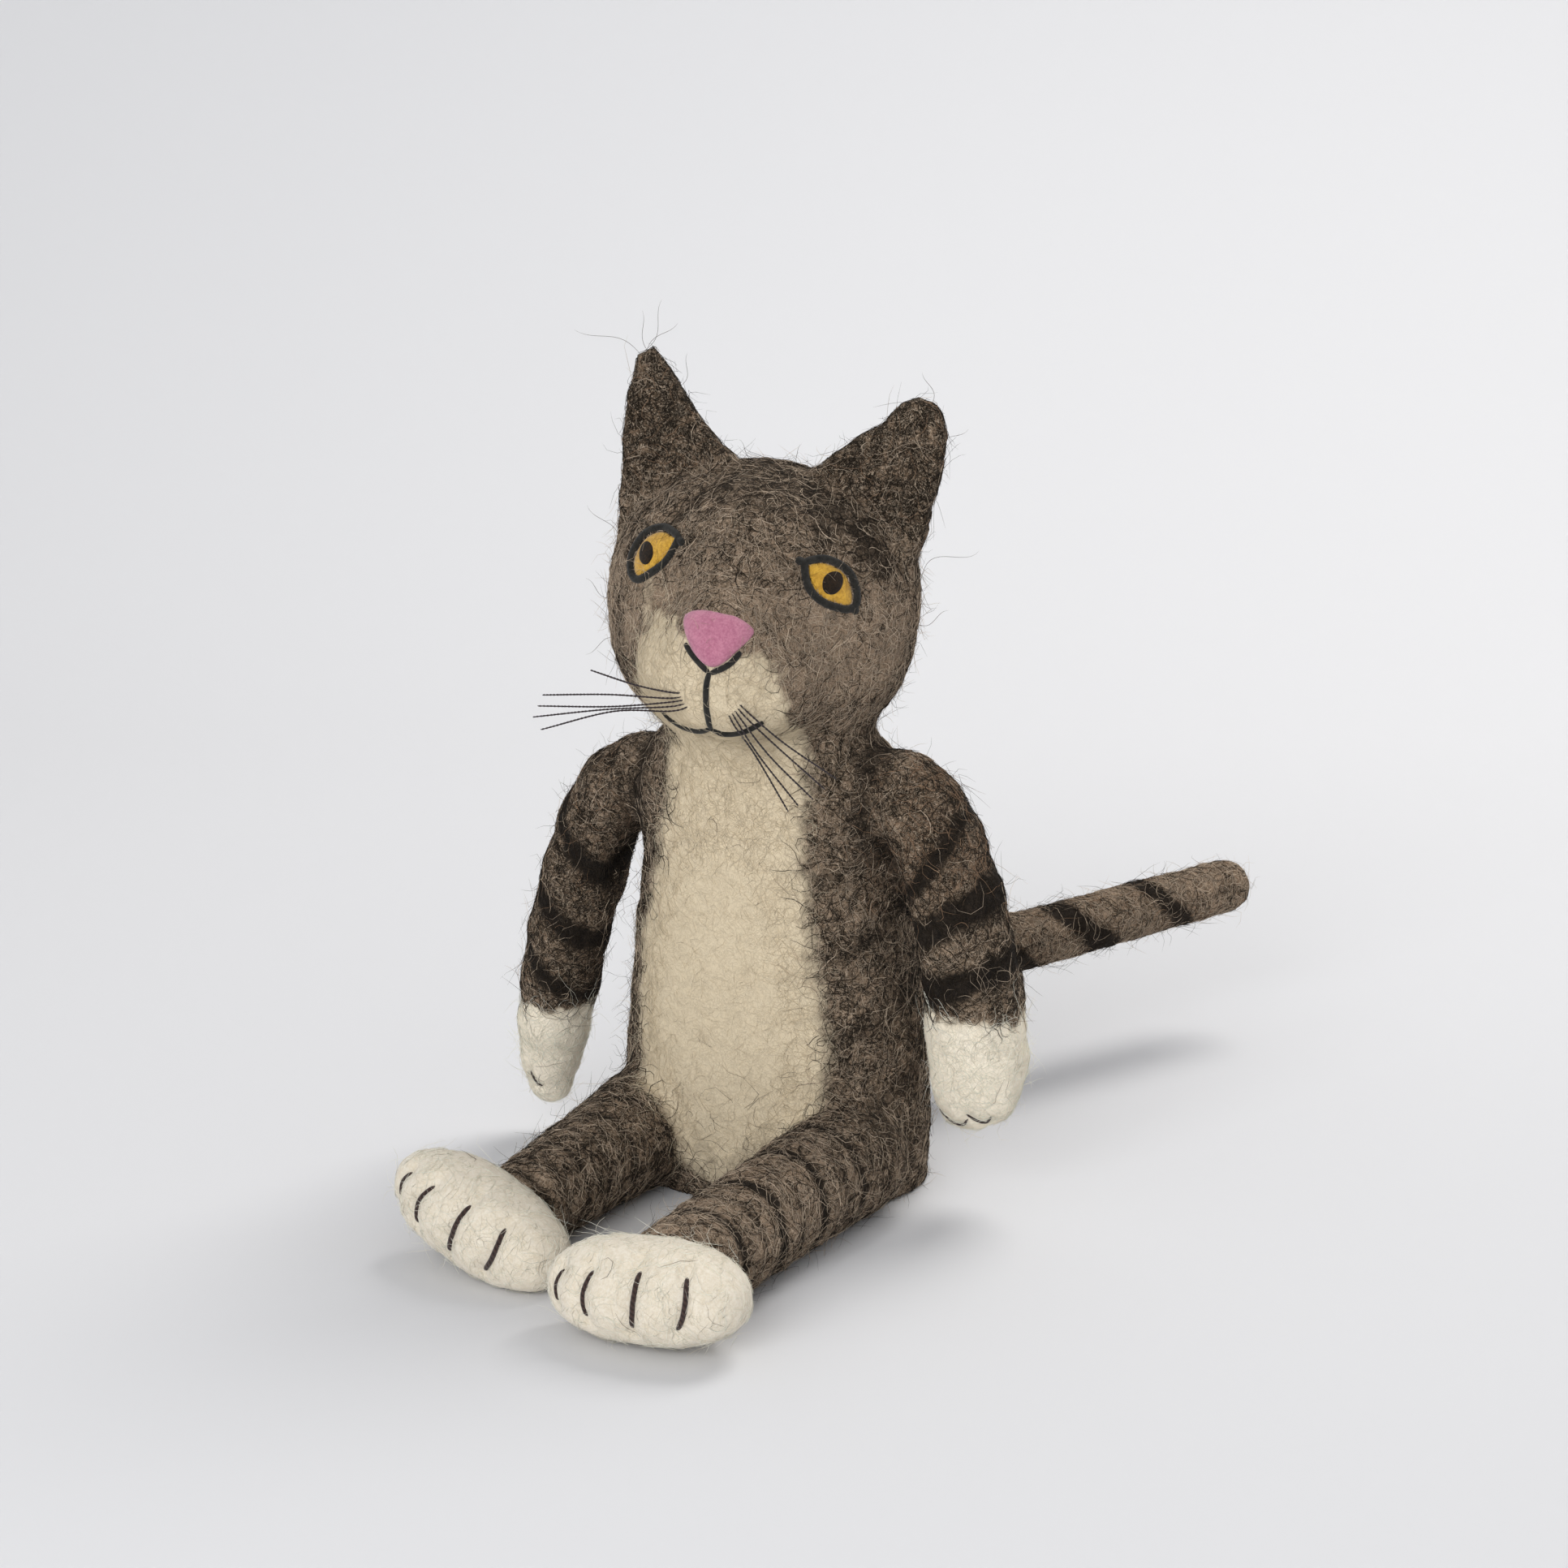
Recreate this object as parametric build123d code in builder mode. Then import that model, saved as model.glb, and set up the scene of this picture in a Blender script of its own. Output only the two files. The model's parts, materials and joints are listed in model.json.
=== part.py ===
"""Seated glove puppet of a cat, made of felted wool.

Frame: +Z up, the cat faces -Y, its left side is +X. The origin is the middle of the hand opening, on the
surface that the puppet sits on. Lengths are in millimetres, angles in degrees.
"""
from build123d import *
import os
from math import cos, radians, sin

os.makedirs("parts", exist_ok=True)

# ---- driving dimensions -------------------------------------------------------------------------------
BODY_WALL = 4.0  # felt thickness of the hollow body
LIMB_WALL = 3.0  # felt thickness of arms, legs, head skin and tail
BELLY_THICKNESS = 1.4  # cream wool laid over the front
GAP = 0.5  # free space in every turning seat
PIECE_SIDES = {"left": 1, "right": -1}

# height, half width, half depth and middle in Y of the body's ovals
BODY_OVALS = [
    (0, 45, 34, 0),
    (22, 45.2, 34.8, 0),
    (45, 44, 34.5, 0),
    (70, 42, 32.5, -0.5),
    (92, 39, 30, -1),
    (108, 36, 27.5, -2),
    (118, 31, 24.5, -3.5),
    (124, 24, 21, -5),
]
BODY_TOP = 124.0
BELLY_BOTTOM = 4.0
BELLY_TOP = 118.0
BELLY_HALF_WIDTH = 22.5
BELLY_START = 10.0  # the cream wool lies in front of this depth

NECK = Vector(0, -6, 133)  # the head turns and nods about this point
NECK_BALL_R = 17.5
FINGER_R = 10.5  # finger passage from the body into the head

HEAD_CENTRE = (0, -10, 168)
HEAD_TILT = (-2, 5.7, 11.2)  # about X, then Y, then Z
HEAD_OVALS = [
    (-31, 25, 22, 2),
    (-22, 33, 29, 2),
    (-8, 40, 34, 2),
    (8, 42.5, 36, 2),
    (20, 41, 35, 2.5),
    (32, 31, 27, 3),
    (40.6, 12, 10, 3),
]
FINGER_POCKET_TOP = 16.0
MUZZLE_OVALS = [(-22, 25, 20), (-34, 23, 18.5), (-43, 16.5, 14.5), (-48.5, 8, 7.5)]
MUZZLE_HEIGHT = -11.0
NOSE_FRONT = -51.0
NOSE_DEPTH = 7.0
NOSE_CORNERS = [(-10.2, 4.5), (-1.5, -8.4), (1.5, -8.4), (10.2, 4.5), (0, 6)]
NOSE_CORNER_R = 1.2
SMILE_LEFT, SMILE_RIGHT = (14.3, -39.5, -23), (-14.3, -39.5, -23)
SMILE_MIDDLE = (0, -47, -25.3)
LIP_MIDDLE = (0, -48.3, -9)
LIP_LEFT, LIP_RIGHT = (8.5, -46, -3), (-8.5, -46, -3)
YARN_R = 0.9  # mouth yarn
EYE_PLACE = (26, -26.5, 16)
EYE_TURN = 35  # the eye looks this far outwards
EYE_HALF_WIDTH = 7.6
EYE_HALF_HEIGHT = 5.4
EYE_RIM = 1.5
EYE_DEPTH = 4.0
EYE_STANDS_OUT = 1.0  # how far the eye's face lies in front of its place
PUPIL_HALF = (1.9, 2.7)
EAR_THICKNESS = 7.0
EAR_MIDDLE_Y = 2.0
EAR_OUTLINES = {  # outer base, round the tip, inner base; across and up the head
    "left": [(39, 12), (44.5, 34), (45.5, 54), (42, 63), (34, 62.5), (24, 52), (9, 38)],
    "right": [(39, 12), (43.5, 34), (43.8, 54), (42, 65.5), (37, 66), (26, 53), (9, 38)],
}

# arms swing about the X line through these points; the right shoulder hangs a little lower
SHOULDERS = {"left": Vector(40, -4, 117), "right": Vector(-40, -4, 113.5)}
SHOULDER_R = 13.0
LEFT_ARM = [(51.5, -5.5, 106, 12.9), (58.3, -6, 90, 13.0), (62.3, -5.5, 72, 13.3), (63.4, -5, 60, 13.7)]
LEFT_PAW = [(63.4, -5, 60, 13.7, 12.6), (63.6, -5, 46, 15.4, 13), (63.7, -5, 35, 14.4, 12),
            (63.7, -5, 27.5, 10.5, 9), (63.7, -5, 23.6, 4.5, 4)]
RIGHT_ARM = [(51.5, -5, 102, 12.4), (58.2, -5.5, 86, 12.0), (64.4, -6, 66, 11.3), (68.6, -5, 48.5, 11)]
RIGHT_PAW = [(68.6, -5, 48.5, 11, 11), (71.1, -4.5, 35.4, 10.4, 10), (72.8, -4, 23.7, 8.8, 8.4),
             (73, -3, 14, 6.2, 6), (72.8, -3, 9.4, 3, 2.8)]
STITCH_R = 0.75

HIP = Vector(28, -44, 18)  # legs swing about the X line through this point
HIP_R = 17.5
LEG_R = (17.2, 15.8)  # at the hip and at the foot
FOOT_CENTRE = {"left": Vector(31, -138, 17), "right": Vector(-34, -114, 17)}
FOOT_TURN = {"left": 0, "right": 15}  # toes turned outwards
FOOT_OVALS = [(-13, 19, 13), (-7, 26, 16), (1, 28, 17.2), (8, 24.5, 15), (13, 12, 8)]
TOE_STITCH_OFFSETS = (-18.5, -6.5, 6.5, 18.5)

TAIL_ROOT = Vector(5, 46, 43)  # the tail swings about the vertical line through this point
TAIL_TIP = Vector(72, 175, 48)
TAIL_ROOT_R = 9.5
TAIL_TIP_R = 7.6
TAIL_CORE_R = 5.0
CORE_INSET = (2.0, 6.0)  # the core stops this far inside the tail's root and tip

HEAD = Location(HEAD_CENTRE, HEAD_TILT, Extrinsic.XYZ)


def on_head(x, y, z, tilt=(0, 0, 0)):
    """Plane at a place on the head, in the head's own frame."""
    return Plane(HEAD * Location((x, y, z), tilt, Extrinsic.XYZ))


def head_point(x, y, z):
    """Point of the head's own frame, in the puppet's frame."""
    return on_head(x, y, z).origin


def oval_loft(stations):
    """Solid through ovals, each a (plane, half width, half depth)."""
    with BuildPart() as solid:
        for plane, half_width, half_depth in stations:
            with BuildSketch(plane):
                Ellipse(half_width, half_depth)
        loft()
    return solid.part


def body_form(grow):
    """The body's outside, grown by a thickness and lowered by it at the top."""
    stations = []
    for height, half_width, half_depth, middle in BODY_OVALS:
        level = height * (BODY_TOP + grow) / BODY_TOP
        plane = Plane.XY.offset(level).shift_origin((0, middle, level))
        stations.append((plane, half_width + grow, half_depth + grow))
    return oval_loft(stations)


def head_form(grow):
    """The skull's outside, grown by a thickness."""
    lowest, highest = HEAD_OVALS[0][0], HEAD_OVALS[-1][0]
    stations = []
    for height, half_width, half_depth, middle in HEAD_OVALS:
        share = (height - lowest) / (highest - lowest)
        level = height + grow * (2 * share - 1)
        stations.append((on_head(0, middle, level), half_width + grow, half_depth + grow))
    return oval_loft(stations)


def limb_planes(points, first_direction):
    """Planes square to a limb's line, their X direction turned with its bend."""
    places = [Vector(*point[:3]) for point in points]
    planes = []
    for number, place in enumerate(places):
        ahead = places[min(number + 1, len(places) - 1)]
        behind = places[max(number - 1, 0)]
        along = (ahead - behind).normalized() if number or first_direction is None else first_direction
        planes.append(Plane(place, x_dir=(-along.Z, 0, along.X), z_dir=along))
    return planes


def arm_form(side, points, grow, overrun):
    """An arm's tube from the shoulder seat to its last point, both ends run on by a length."""
    sign = PIECE_SIDES[side]
    shoulder = SHOULDERS[side]
    start = (abs(shoulder.X) + GAP / 2, shoulder.Y, shoulder.Z, SHOULDER_R)
    route = [(sign * x, y, z, r) for x, y, z, r in [start] + points]
    planes = limb_planes(route, Vector(sign, 0, 0))
    planes[0] = planes[0].offset(-overrun)
    planes[-1] = planes[-1].offset(overrun)
    return oval_loft([(plane, r + grow, r + grow) for plane, (_, _, _, r) in zip(planes, route)])


def leg_form(hip, ankle, shrink):
    """A leg's tapered tube with its round root at the hip."""
    along = ankle - hip
    with BuildPart() as leg:
        with BuildSketch(Plane(hip, z_dir=along)):
            Circle(LEG_R[0] - shrink)
        with BuildSketch(Plane(ankle, z_dir=along)):
            Circle(LEG_R[1] - shrink)
        loft()
        with Locations(hip):
            Sphere(HIP_R - shrink)
    return leg.part


def ball(place, radius):
    """A ball at a place."""
    with BuildPart() as solid:
        with Locations(place):
            Sphere(radius)
    return solid.part


def rod(start, end, radius):
    """A round rod between two points."""
    with BuildPart() as solid:
        with BuildSketch(Plane(start, z_dir=end - start)):
            Circle(radius)
        extrude(amount=(end - start).length)
    return solid.part


def bent_yarn(start, middle, end, radius):
    """A length of yarn bent in an arc through three points."""
    with BuildPart() as solid:
        with BuildLine() as path:
            arc = ThreePointArc(start, middle, end)
        with BuildSketch(Plane(start, z_dir=arc % 0)):
            Circle(radius)
        sweep(path=path.line)
    return solid.part


def save(piece, name):
    """Label a finished piece and write it."""
    piece.label = name
    export_step(piece, f"parts/{name}.step")


body_outer = body_form(0)
body_hollow = body_form(-BODY_WALL)
head_outer = head_form(0)
head_inner = head_form(-LIMB_WALL)

# ---- body ---------------------------------------------------------------------------------------------
SEAT_START = 18.0  # the shoulder seats begin this far from the middle
HIP_STUB_START = -18.0
HIP_STUB_END = -34.0
TAIL_STUB_START = 25.0
TAIL_STUB_END = 39.5
HIP_STUB_NARROWER = 1.5  # the hip stubs are this much thinner than the legs' round roots
TAIL_STUB_NARROWER = 0.5
PASSAGE_BELOW_TOP = 15.0  # the neck's finger passage starts this far under the body's top
PASSAGE_LENGTH = 20.0
BODY_REACH = 40.0  # longer than the body is deep in front

with BuildPart() as seats:
    for side, sign in PIECE_SIDES.items():
        shoulder = SHOULDERS[side]
        with BuildSketch(Plane((sign * SEAT_START, shoulder.Y, shoulder.Z), z_dir=(sign, 0, 0))):
            Circle(SHOULDER_R)
        extrude(amount=abs(shoulder.X) - GAP / 2 - SEAT_START)
        with BuildSketch(Plane((sign * HIP.X, HIP_STUB_START, HIP.Z), z_dir=(0, -1, 0))):
            Circle(HIP_R - HIP_STUB_NARROWER)
        extrude(amount=HIP_STUB_START - HIP_STUB_END)
    with BuildSketch(Plane((TAIL_ROOT.X, TAIL_STUB_START, TAIL_ROOT.Z), z_dir=(0, 1, 0))):
        Circle(TAIL_ROOT_R - TAIL_STUB_NARROWER)
    extrude(amount=TAIL_STUB_END - TAIL_STUB_START)
    add(body_outer, mode=Mode.SUBTRACT)

with BuildPart() as finger_passages:
    for side, sign in PIECE_SIDES.items():
        shoulder = SHOULDERS[side]
        passage_start = Vector(sign * (SEAT_START + LIMB_WALL), shoulder.Y, shoulder.Z)
        with BuildSketch(Plane(passage_start, z_dir=(sign, 0, 0))):
            Circle(SHOULDER_R - LIMB_WALL)
        extrude(amount=abs(shoulder.X) - SEAT_START)
    with BuildSketch(Plane.XY.offset(BODY_TOP - PASSAGE_BELOW_TOP)):
        with Locations((NECK.X, NECK.Y)):
            Circle(FINGER_R)
    extrude(amount=PASSAGE_LENGTH)

with BuildPart() as torso_shell:
    add(body_outer)
    add(body_hollow, mode=Mode.SUBTRACT)
    add(seats.part)
    for sign in PIECE_SIDES.values():
        with Locations((sign * HIP.X, HIP.Y, HIP.Z)):
            Sphere(HIP_R + GAP, mode=Mode.SUBTRACT)
    with Locations(TAIL_ROOT):
        Sphere(TAIL_ROOT_R + GAP, mode=Mode.SUBTRACT)
    add(finger_passages.part, mode=Mode.SUBTRACT)
save(torso_shell.part, "torso_shell")

belly_face = body_form(BELLY_THICKNESS)
with BuildPart() as belly_panel:
    with BuildSketch(Plane.XZ.offset(BELLY_START)):
        with Locations((0, (BELLY_BOTTOM + BELLY_TOP) / 2)):
            Ellipse(BELLY_HALF_WIDTH, (BELLY_TOP - BELLY_BOTTOM) / 2)
    extrude(amount=BODY_REACH)
    add(belly_face, mode=Mode.INTERSECT)
    add(body_outer, mode=Mode.SUBTRACT)
    for sign in PIECE_SIDES.values():
        with BuildSketch(Plane((sign * HIP.X, HIP_STUB_START, HIP.Z), z_dir=(0, -1, 0))):
            Circle(HIP_R + 2 * GAP)
        extrude(amount=BODY_REACH, mode=Mode.SUBTRACT)
save(belly_panel.part, "belly_panel")

# ---- neck ---------------------------------------------------------------------------------------------
with BuildPart() as neck_ring:
    with Locations(NECK):
        Sphere(NECK_BALL_R)
    split(bisect_by=Plane.XY.offset(BODY_TOP + GAP), keep=Keep.TOP)
    with BuildSketch(Plane.XY.offset(BODY_TOP)):
        with Locations((NECK.X, NECK.Y)):
            Circle(FINGER_R)
    extrude(amount=2 * NECK_BALL_R + GAP, mode=Mode.SUBTRACT)
save(neck_ring.part, "neck_ring")

# ---- head ---------------------------------------------------------------------------------------------
POCKET_START = (0, 3, -30)  # the finger pocket's mouth, in the head's frame
neck_seat = ball(NECK, NECK_BALL_R + GAP)

with BuildPart() as head_shell:
    add(head_outer)
    add(head_inner, mode=Mode.SUBTRACT)
    add(neck_seat, mode=Mode.SUBTRACT)
save(head_shell.part, "head_shell")

with BuildPart() as head_stuffing:
    add(head_inner)
    add(neck_seat, mode=Mode.SUBTRACT)
    with BuildSketch(on_head(*POCKET_START)):
        Circle(FINGER_R)
    extrude(amount=FINGER_POCKET_TOP - POCKET_START[2], mode=Mode.SUBTRACT)
save(head_stuffing.part, "head_stuffing")

FACING_FRONT = (90, 0, 0)
muzzle_form = oval_loft([(on_head(0, y, MUZZLE_HEIGHT, FACING_FRONT), w, h) for y, w, h in MUZZLE_OVALS])
with BuildPart() as muzzle_pad:
    add(muzzle_form)
    add(head_outer, mode=Mode.SUBTRACT)
save(muzzle_pad.part, "muzzle_pad")

with BuildPart() as nose_pad:
    with BuildSketch(on_head(0, NOSE_FRONT + NOSE_DEPTH, 0, FACING_FRONT)) as nose_outline:
        with BuildLine():
            Polyline(*NOSE_CORNERS, close=True)
        make_face()
        fillet(nose_outline.vertices(), radius=NOSE_CORNER_R)
    extrude(amount=NOSE_DEPTH)
save(nose_pad.part, "nose_pad")

smile = bent_yarn(head_point(*SMILE_RIGHT), head_point(*SMILE_MIDDLE), head_point(*SMILE_LEFT), YARN_R)
philtrum = rod(head_point(*LIP_MIDDLE), head_point(*SMILE_MIDDLE), YARN_R)
lip_left = rod(head_point(*LIP_MIDDLE), head_point(*LIP_LEFT), YARN_R)
lip_right = rod(head_point(*LIP_MIDDLE), head_point(*LIP_RIGHT), YARN_R)
with BuildPart() as mouth_line:
    for strand in (smile, philtrum, lip_left, lip_right):
        add(strand)
save(mouth_line.part, "mouth_line")


def almond(plane, half_width, half_height):
    """Pointed oval face of an eye."""
    with BuildSketch(plane) as outline:
        with BuildLine():
            ThreePointArc((-half_width, 0), (0, half_height), (half_width, 0))
            ThreePointArc((half_width, 0), (0, -half_height), (-half_width, 0))
        make_face()
    return outline.sketch


for side, sign in PIECE_SIDES.items():
    place = (sign * EYE_PLACE[0], EYE_PLACE[1], EYE_PLACE[2])
    eye_plane = on_head(*place, (90, 0, sign * EYE_TURN)).offset(EYE_STANDS_OUT - EYE_DEPTH)

    rim_face = almond(eye_plane, EYE_HALF_WIDTH, EYE_HALF_HEIGHT)
    iris_face = almond(eye_plane, EYE_HALF_WIDTH - EYE_RIM * 1.3, EYE_HALF_HEIGHT - EYE_RIM)

    with BuildPart() as eye_rim:
        extrude(rim_face, amount=EYE_DEPTH)
        extrude(iris_face, amount=EYE_DEPTH, mode=Mode.SUBTRACT)
    save(eye_rim.part, f"eye_rim_{side}")

    with BuildPart() as eye_iris:
        extrude(iris_face, amount=EYE_DEPTH)
        with BuildSketch(eye_plane):
            Ellipse(*PUPIL_HALF)
        extrude(amount=EYE_DEPTH, mode=Mode.SUBTRACT)
    save(eye_iris.part, f"eye_iris_{side}")

    with BuildPart() as eye_pupil:
        with BuildSketch(eye_plane):
            Ellipse(*PUPIL_HALF)
        extrude(amount=EYE_DEPTH)
    save(eye_pupil.part, f"eye_pupil_{side}")

    with BuildPart() as ear:
        with BuildSketch(on_head(0, EAR_MIDDLE_Y + EAR_THICKNESS / 2, 0, FACING_FRONT)) as ear_outline:
            with BuildLine():
                edge = [(sign * across, up) for across, up in EAR_OUTLINES[side]]
                Spline(*edge)
                Line(edge[-1], edge[0])
            make_face()
        extrude(amount=EAR_THICKNESS)
        add(head_outer, mode=Mode.SUBTRACT)
    save(ear.part, f"ear_{side}")

# each whisker runs from its root on the muzzle to its free end
WHISKER_R = 0.3
WHISKER_ROOTS = {"left": (7.5, -46.5, -18), "right": (-7.5, -46.5, -18)}
WHISKER_ENDS = {
    "left": [(22, -38, 119), (25, -38, 121), (29, -37, 123), (32, -36, 126), (35, -35, 129)],
    "right": [(-44, -57, 139), (-47, -56, 142), (-46, -55, 145), (-45, -54, 148), (-31, -52, 156)],
}
WHISKER_SPACING = 1.2
WHISKER_STEP_BACK = 0.4  # each root lies this much further back than the last

for side, sign in PIECE_SIDES.items():
    x, y, z = WHISKER_ROOTS[side]
    strands = []
    for number, free_end in enumerate(WHISKER_ENDS[side]):
        step = WHISKER_SPACING * number
        root = head_point(x + sign * step, y + WHISKER_STEP_BACK * number, z + step)
        strands.append(rod(root, Vector(free_end), WHISKER_R))
    with BuildPart() as whiskers:
        for strand in strands:
            add(strand)
    save(whiskers.part, f"whiskers_{side}")

# ---- arms ---------------------------------------------------------------------------------------------
SLEEVE_OVERRUN = 2.0  # the sleeve's hollow runs through both of its ends
PAW_STITCH_PLACES = (-0.45, 0, 0.45)  # share of the paw's half width
PAW_STITCH_RISE = 4.0
PAW_STITCH_DROP = 3.2
PAW_STITCH_BEND_Y = 1.2
PAW_STITCH_LOW_DEPTH = 0.55  # share of the paw's half depth

for side, sign, arm, paw in (("left", 1, LEFT_ARM, LEFT_PAW), ("right", -1, RIGHT_ARM, RIGHT_PAW)):
    sleeve_outer = arm_form(side, arm, 0, 0)
    sleeve_inner = arm_form(side, arm, -LIMB_WALL, SLEEVE_OVERRUN)
    with BuildPart() as arm_sleeve:
        add(sleeve_outer)
        add(sleeve_inner, mode=Mode.SUBTRACT)
        split(bisect_by=Plane(SHOULDERS[side] + Vector(sign * GAP / 2, 0, 0), z_dir=(sign, 0, 0)), keep=Keep.TOP)
    save(arm_sleeve.part, f"arm_sleeve_{side}")

    paw_route = [(sign * x, y, z) for x, y, z, _, _ in paw]
    cuff = Vector(sign * arm[-1][0], *arm[-1][1:3]) - Vector(sign * arm[-2][0], *arm[-2][1:3])
    paw_planes = limb_planes(paw_route, cuff.normalized())
    paw_form = oval_loft([(plane, w, d) for plane, (_, _, _, w, d) in zip(paw_planes, paw)])
    with BuildPart() as arm_paw:
        add(paw_form)
    save(arm_paw.part, f"arm_paw_{side}")

    tip_x, tip_y, tip_z, tip_w, tip_d = paw[-2]
    stitches = []
    for offset in PAW_STITCH_PLACES:
        across = sign * (tip_x + offset * tip_w)
        top = Vector(across, tip_y - tip_d, tip_z + PAW_STITCH_RISE)
        bend = Vector(across + sign * offset, tip_y - tip_d + PAW_STITCH_BEND_Y, tip_z)
        low = Vector(across, tip_y - tip_d * PAW_STITCH_LOW_DEPTH, tip_z - PAW_STITCH_DROP)
        stitches.append(bent_yarn(top, bend, low, STITCH_R))
    with BuildPart() as arm_toe_stitches:
        for stitch in stitches:
            add(stitch)
    save(arm_toe_stitches.part, f"arm_toe_stitches_{side}")

# ---- legs ---------------------------------------------------------------------------------------------
ANKLE_BEFORE_FOOT = 9.0  # the leg ends this far behind the middle of the foot
ANKLE_RISE = 0.6  # height of the leg's underside at the foot
TOE_SPREAD = 27.0  # half width over which the foot's front falls back
TOE_ROUNDNESS = 0.3
TOE_STITCH_SHAPE = [(8.6, 13), (13, 4), (12.4, -6)]  # ahead of and above the foot's middle

for side, sign in PIECE_SIDES.items():
    hip = Vector(sign * HIP.X, HIP.Y, HIP.Z)
    middle = FOOT_CENTRE[side]
    turn = radians(FOOT_TURN[side])
    ahead = Vector(sign * sin(turn), -cos(turn), 0)
    across = Vector(cos(turn), sign * sin(turn), 0)
    ankle = Vector(middle.X, middle.Y, LEG_R[1] + ANKLE_RISE) - ahead * ANKLE_BEFORE_FOOT
    leg_outer = leg_form(hip, ankle, 0)
    leg_inner = leg_form(hip, ankle, LIMB_WALL)

    with BuildPart() as leg_cover:
        add(leg_outer)
        add(leg_inner, mode=Mode.SUBTRACT)
    save(leg_cover.part, f"leg_cover_{side}")

    with BuildPart() as leg_stuffing:
        add(leg_inner)
    save(leg_stuffing.part, f"leg_stuffing_{side}")

    foot_stations = []
    for distance, half_width, half_height in FOOT_OVALS:
        plane = Plane(middle + ahead * distance, x_dir=across, z_dir=ahead)
        foot_stations.append((plane, half_width, half_height))
    foot_form = oval_loft(foot_stations)
    with BuildPart() as foot:
        add(foot_form)
        split(bisect_by=Plane.XY, keep=Keep.TOP)
        add(leg_outer, mode=Mode.SUBTRACT)
    save(foot.part, f"foot_{side}")

    stitches = []
    for offset in TOE_STITCH_OFFSETS:
        depth = (1 - (offset / TOE_SPREAD) ** 2) ** TOE_ROUNDNESS
        crown = middle + across * offset
        shape = [crown + (ahead * y + Vector(0, 0, z)) * depth for y, z in TOE_STITCH_SHAPE]
        stitches.append(bent_yarn(*shape, STITCH_R))
    with BuildPart() as foot_toe_stitches:
        for stitch in stitches:
            add(stitch)
    save(foot_toe_stitches.part, f"foot_toe_stitches_{side}")

# ---- tail ---------------------------------------------------------------------------------------------
tail_along = (TAIL_TIP - TAIL_ROOT).normalized()
CORE_START = TAIL_ROOT + tail_along * CORE_INSET[0]
CORE_END = TAIL_TIP - tail_along * CORE_INSET[1]

with BuildPart() as tail_core:
    with BuildSketch(Plane(CORE_START, z_dir=tail_along)):
        Circle(TAIL_CORE_R)
    extrude(amount=(CORE_END - CORE_START).length)
save(tail_core.part, "tail_core")

with BuildPart() as tail_cover:
    with BuildSketch(Plane(TAIL_ROOT, z_dir=tail_along)):
        Circle(TAIL_ROOT_R)
    with BuildSketch(Plane(TAIL_TIP, z_dir=tail_along)):
        Circle(TAIL_TIP_R)
    loft()
    with Locations(TAIL_ROOT):
        Sphere(TAIL_ROOT_R)
    with Locations(TAIL_TIP):
        Sphere(TAIL_TIP_R)
    add(tail_core.part, mode=Mode.SUBTRACT)
save(tail_cover.part, "tail_cover")
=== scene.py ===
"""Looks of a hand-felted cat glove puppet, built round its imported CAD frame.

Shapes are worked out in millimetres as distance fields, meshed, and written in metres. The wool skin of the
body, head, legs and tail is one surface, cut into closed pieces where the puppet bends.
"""
import json
import math

import bmesh
import bpy
import numpy as np
from mathutils import Matrix, Vector


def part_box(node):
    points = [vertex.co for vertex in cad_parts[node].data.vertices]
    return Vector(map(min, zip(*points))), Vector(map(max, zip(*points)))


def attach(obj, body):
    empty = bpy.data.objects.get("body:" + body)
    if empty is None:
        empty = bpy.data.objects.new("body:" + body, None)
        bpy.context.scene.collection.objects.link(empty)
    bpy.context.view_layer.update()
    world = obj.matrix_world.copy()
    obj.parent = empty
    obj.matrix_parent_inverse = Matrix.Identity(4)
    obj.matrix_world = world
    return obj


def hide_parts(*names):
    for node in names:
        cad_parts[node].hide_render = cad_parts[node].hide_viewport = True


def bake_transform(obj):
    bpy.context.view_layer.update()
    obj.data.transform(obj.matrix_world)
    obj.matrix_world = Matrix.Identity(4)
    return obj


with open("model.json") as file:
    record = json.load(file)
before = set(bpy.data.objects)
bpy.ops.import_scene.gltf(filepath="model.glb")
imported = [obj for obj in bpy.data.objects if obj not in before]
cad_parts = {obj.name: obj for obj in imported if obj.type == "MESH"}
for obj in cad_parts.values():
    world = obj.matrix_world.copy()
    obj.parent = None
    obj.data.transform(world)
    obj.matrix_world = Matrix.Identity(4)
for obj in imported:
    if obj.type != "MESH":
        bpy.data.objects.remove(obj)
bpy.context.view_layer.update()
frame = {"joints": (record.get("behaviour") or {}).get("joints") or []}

# ---- sizes and places ---------------------------------------------------------------------------------
MM = 0.001  # one millimetre in metres
VOXEL = 1.0  # mesh size of the wool skins
JOINTS = {j["name"]: np.array(j["pos_m"]) / MM for j in frame["joints"]}
SIDES = {"left": 1, "right": -1}


def box_mm(node):
    """Lowest and highest corner of a CAD node, in millimetres."""
    low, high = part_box(node)
    return np.array(low) / MM, np.array(high) / MM


NECK = JOINTS["head_turn"]
SHOULDERS = {side: JOINTS[f"arm_{side}_raise"] for side in SIDES}
SHOULDER_X = SHOULDERS["left"][0]
SHOULDER_R = 13.0
SHOULDER_BAND = (100, 134)  # heights between which the body is cut off at the shoulders
HIP_X, _, HIP_Z = JOINTS["leg_left_lift"]
TAIL_ROOT = JOINTS["tail_swing"]

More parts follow.
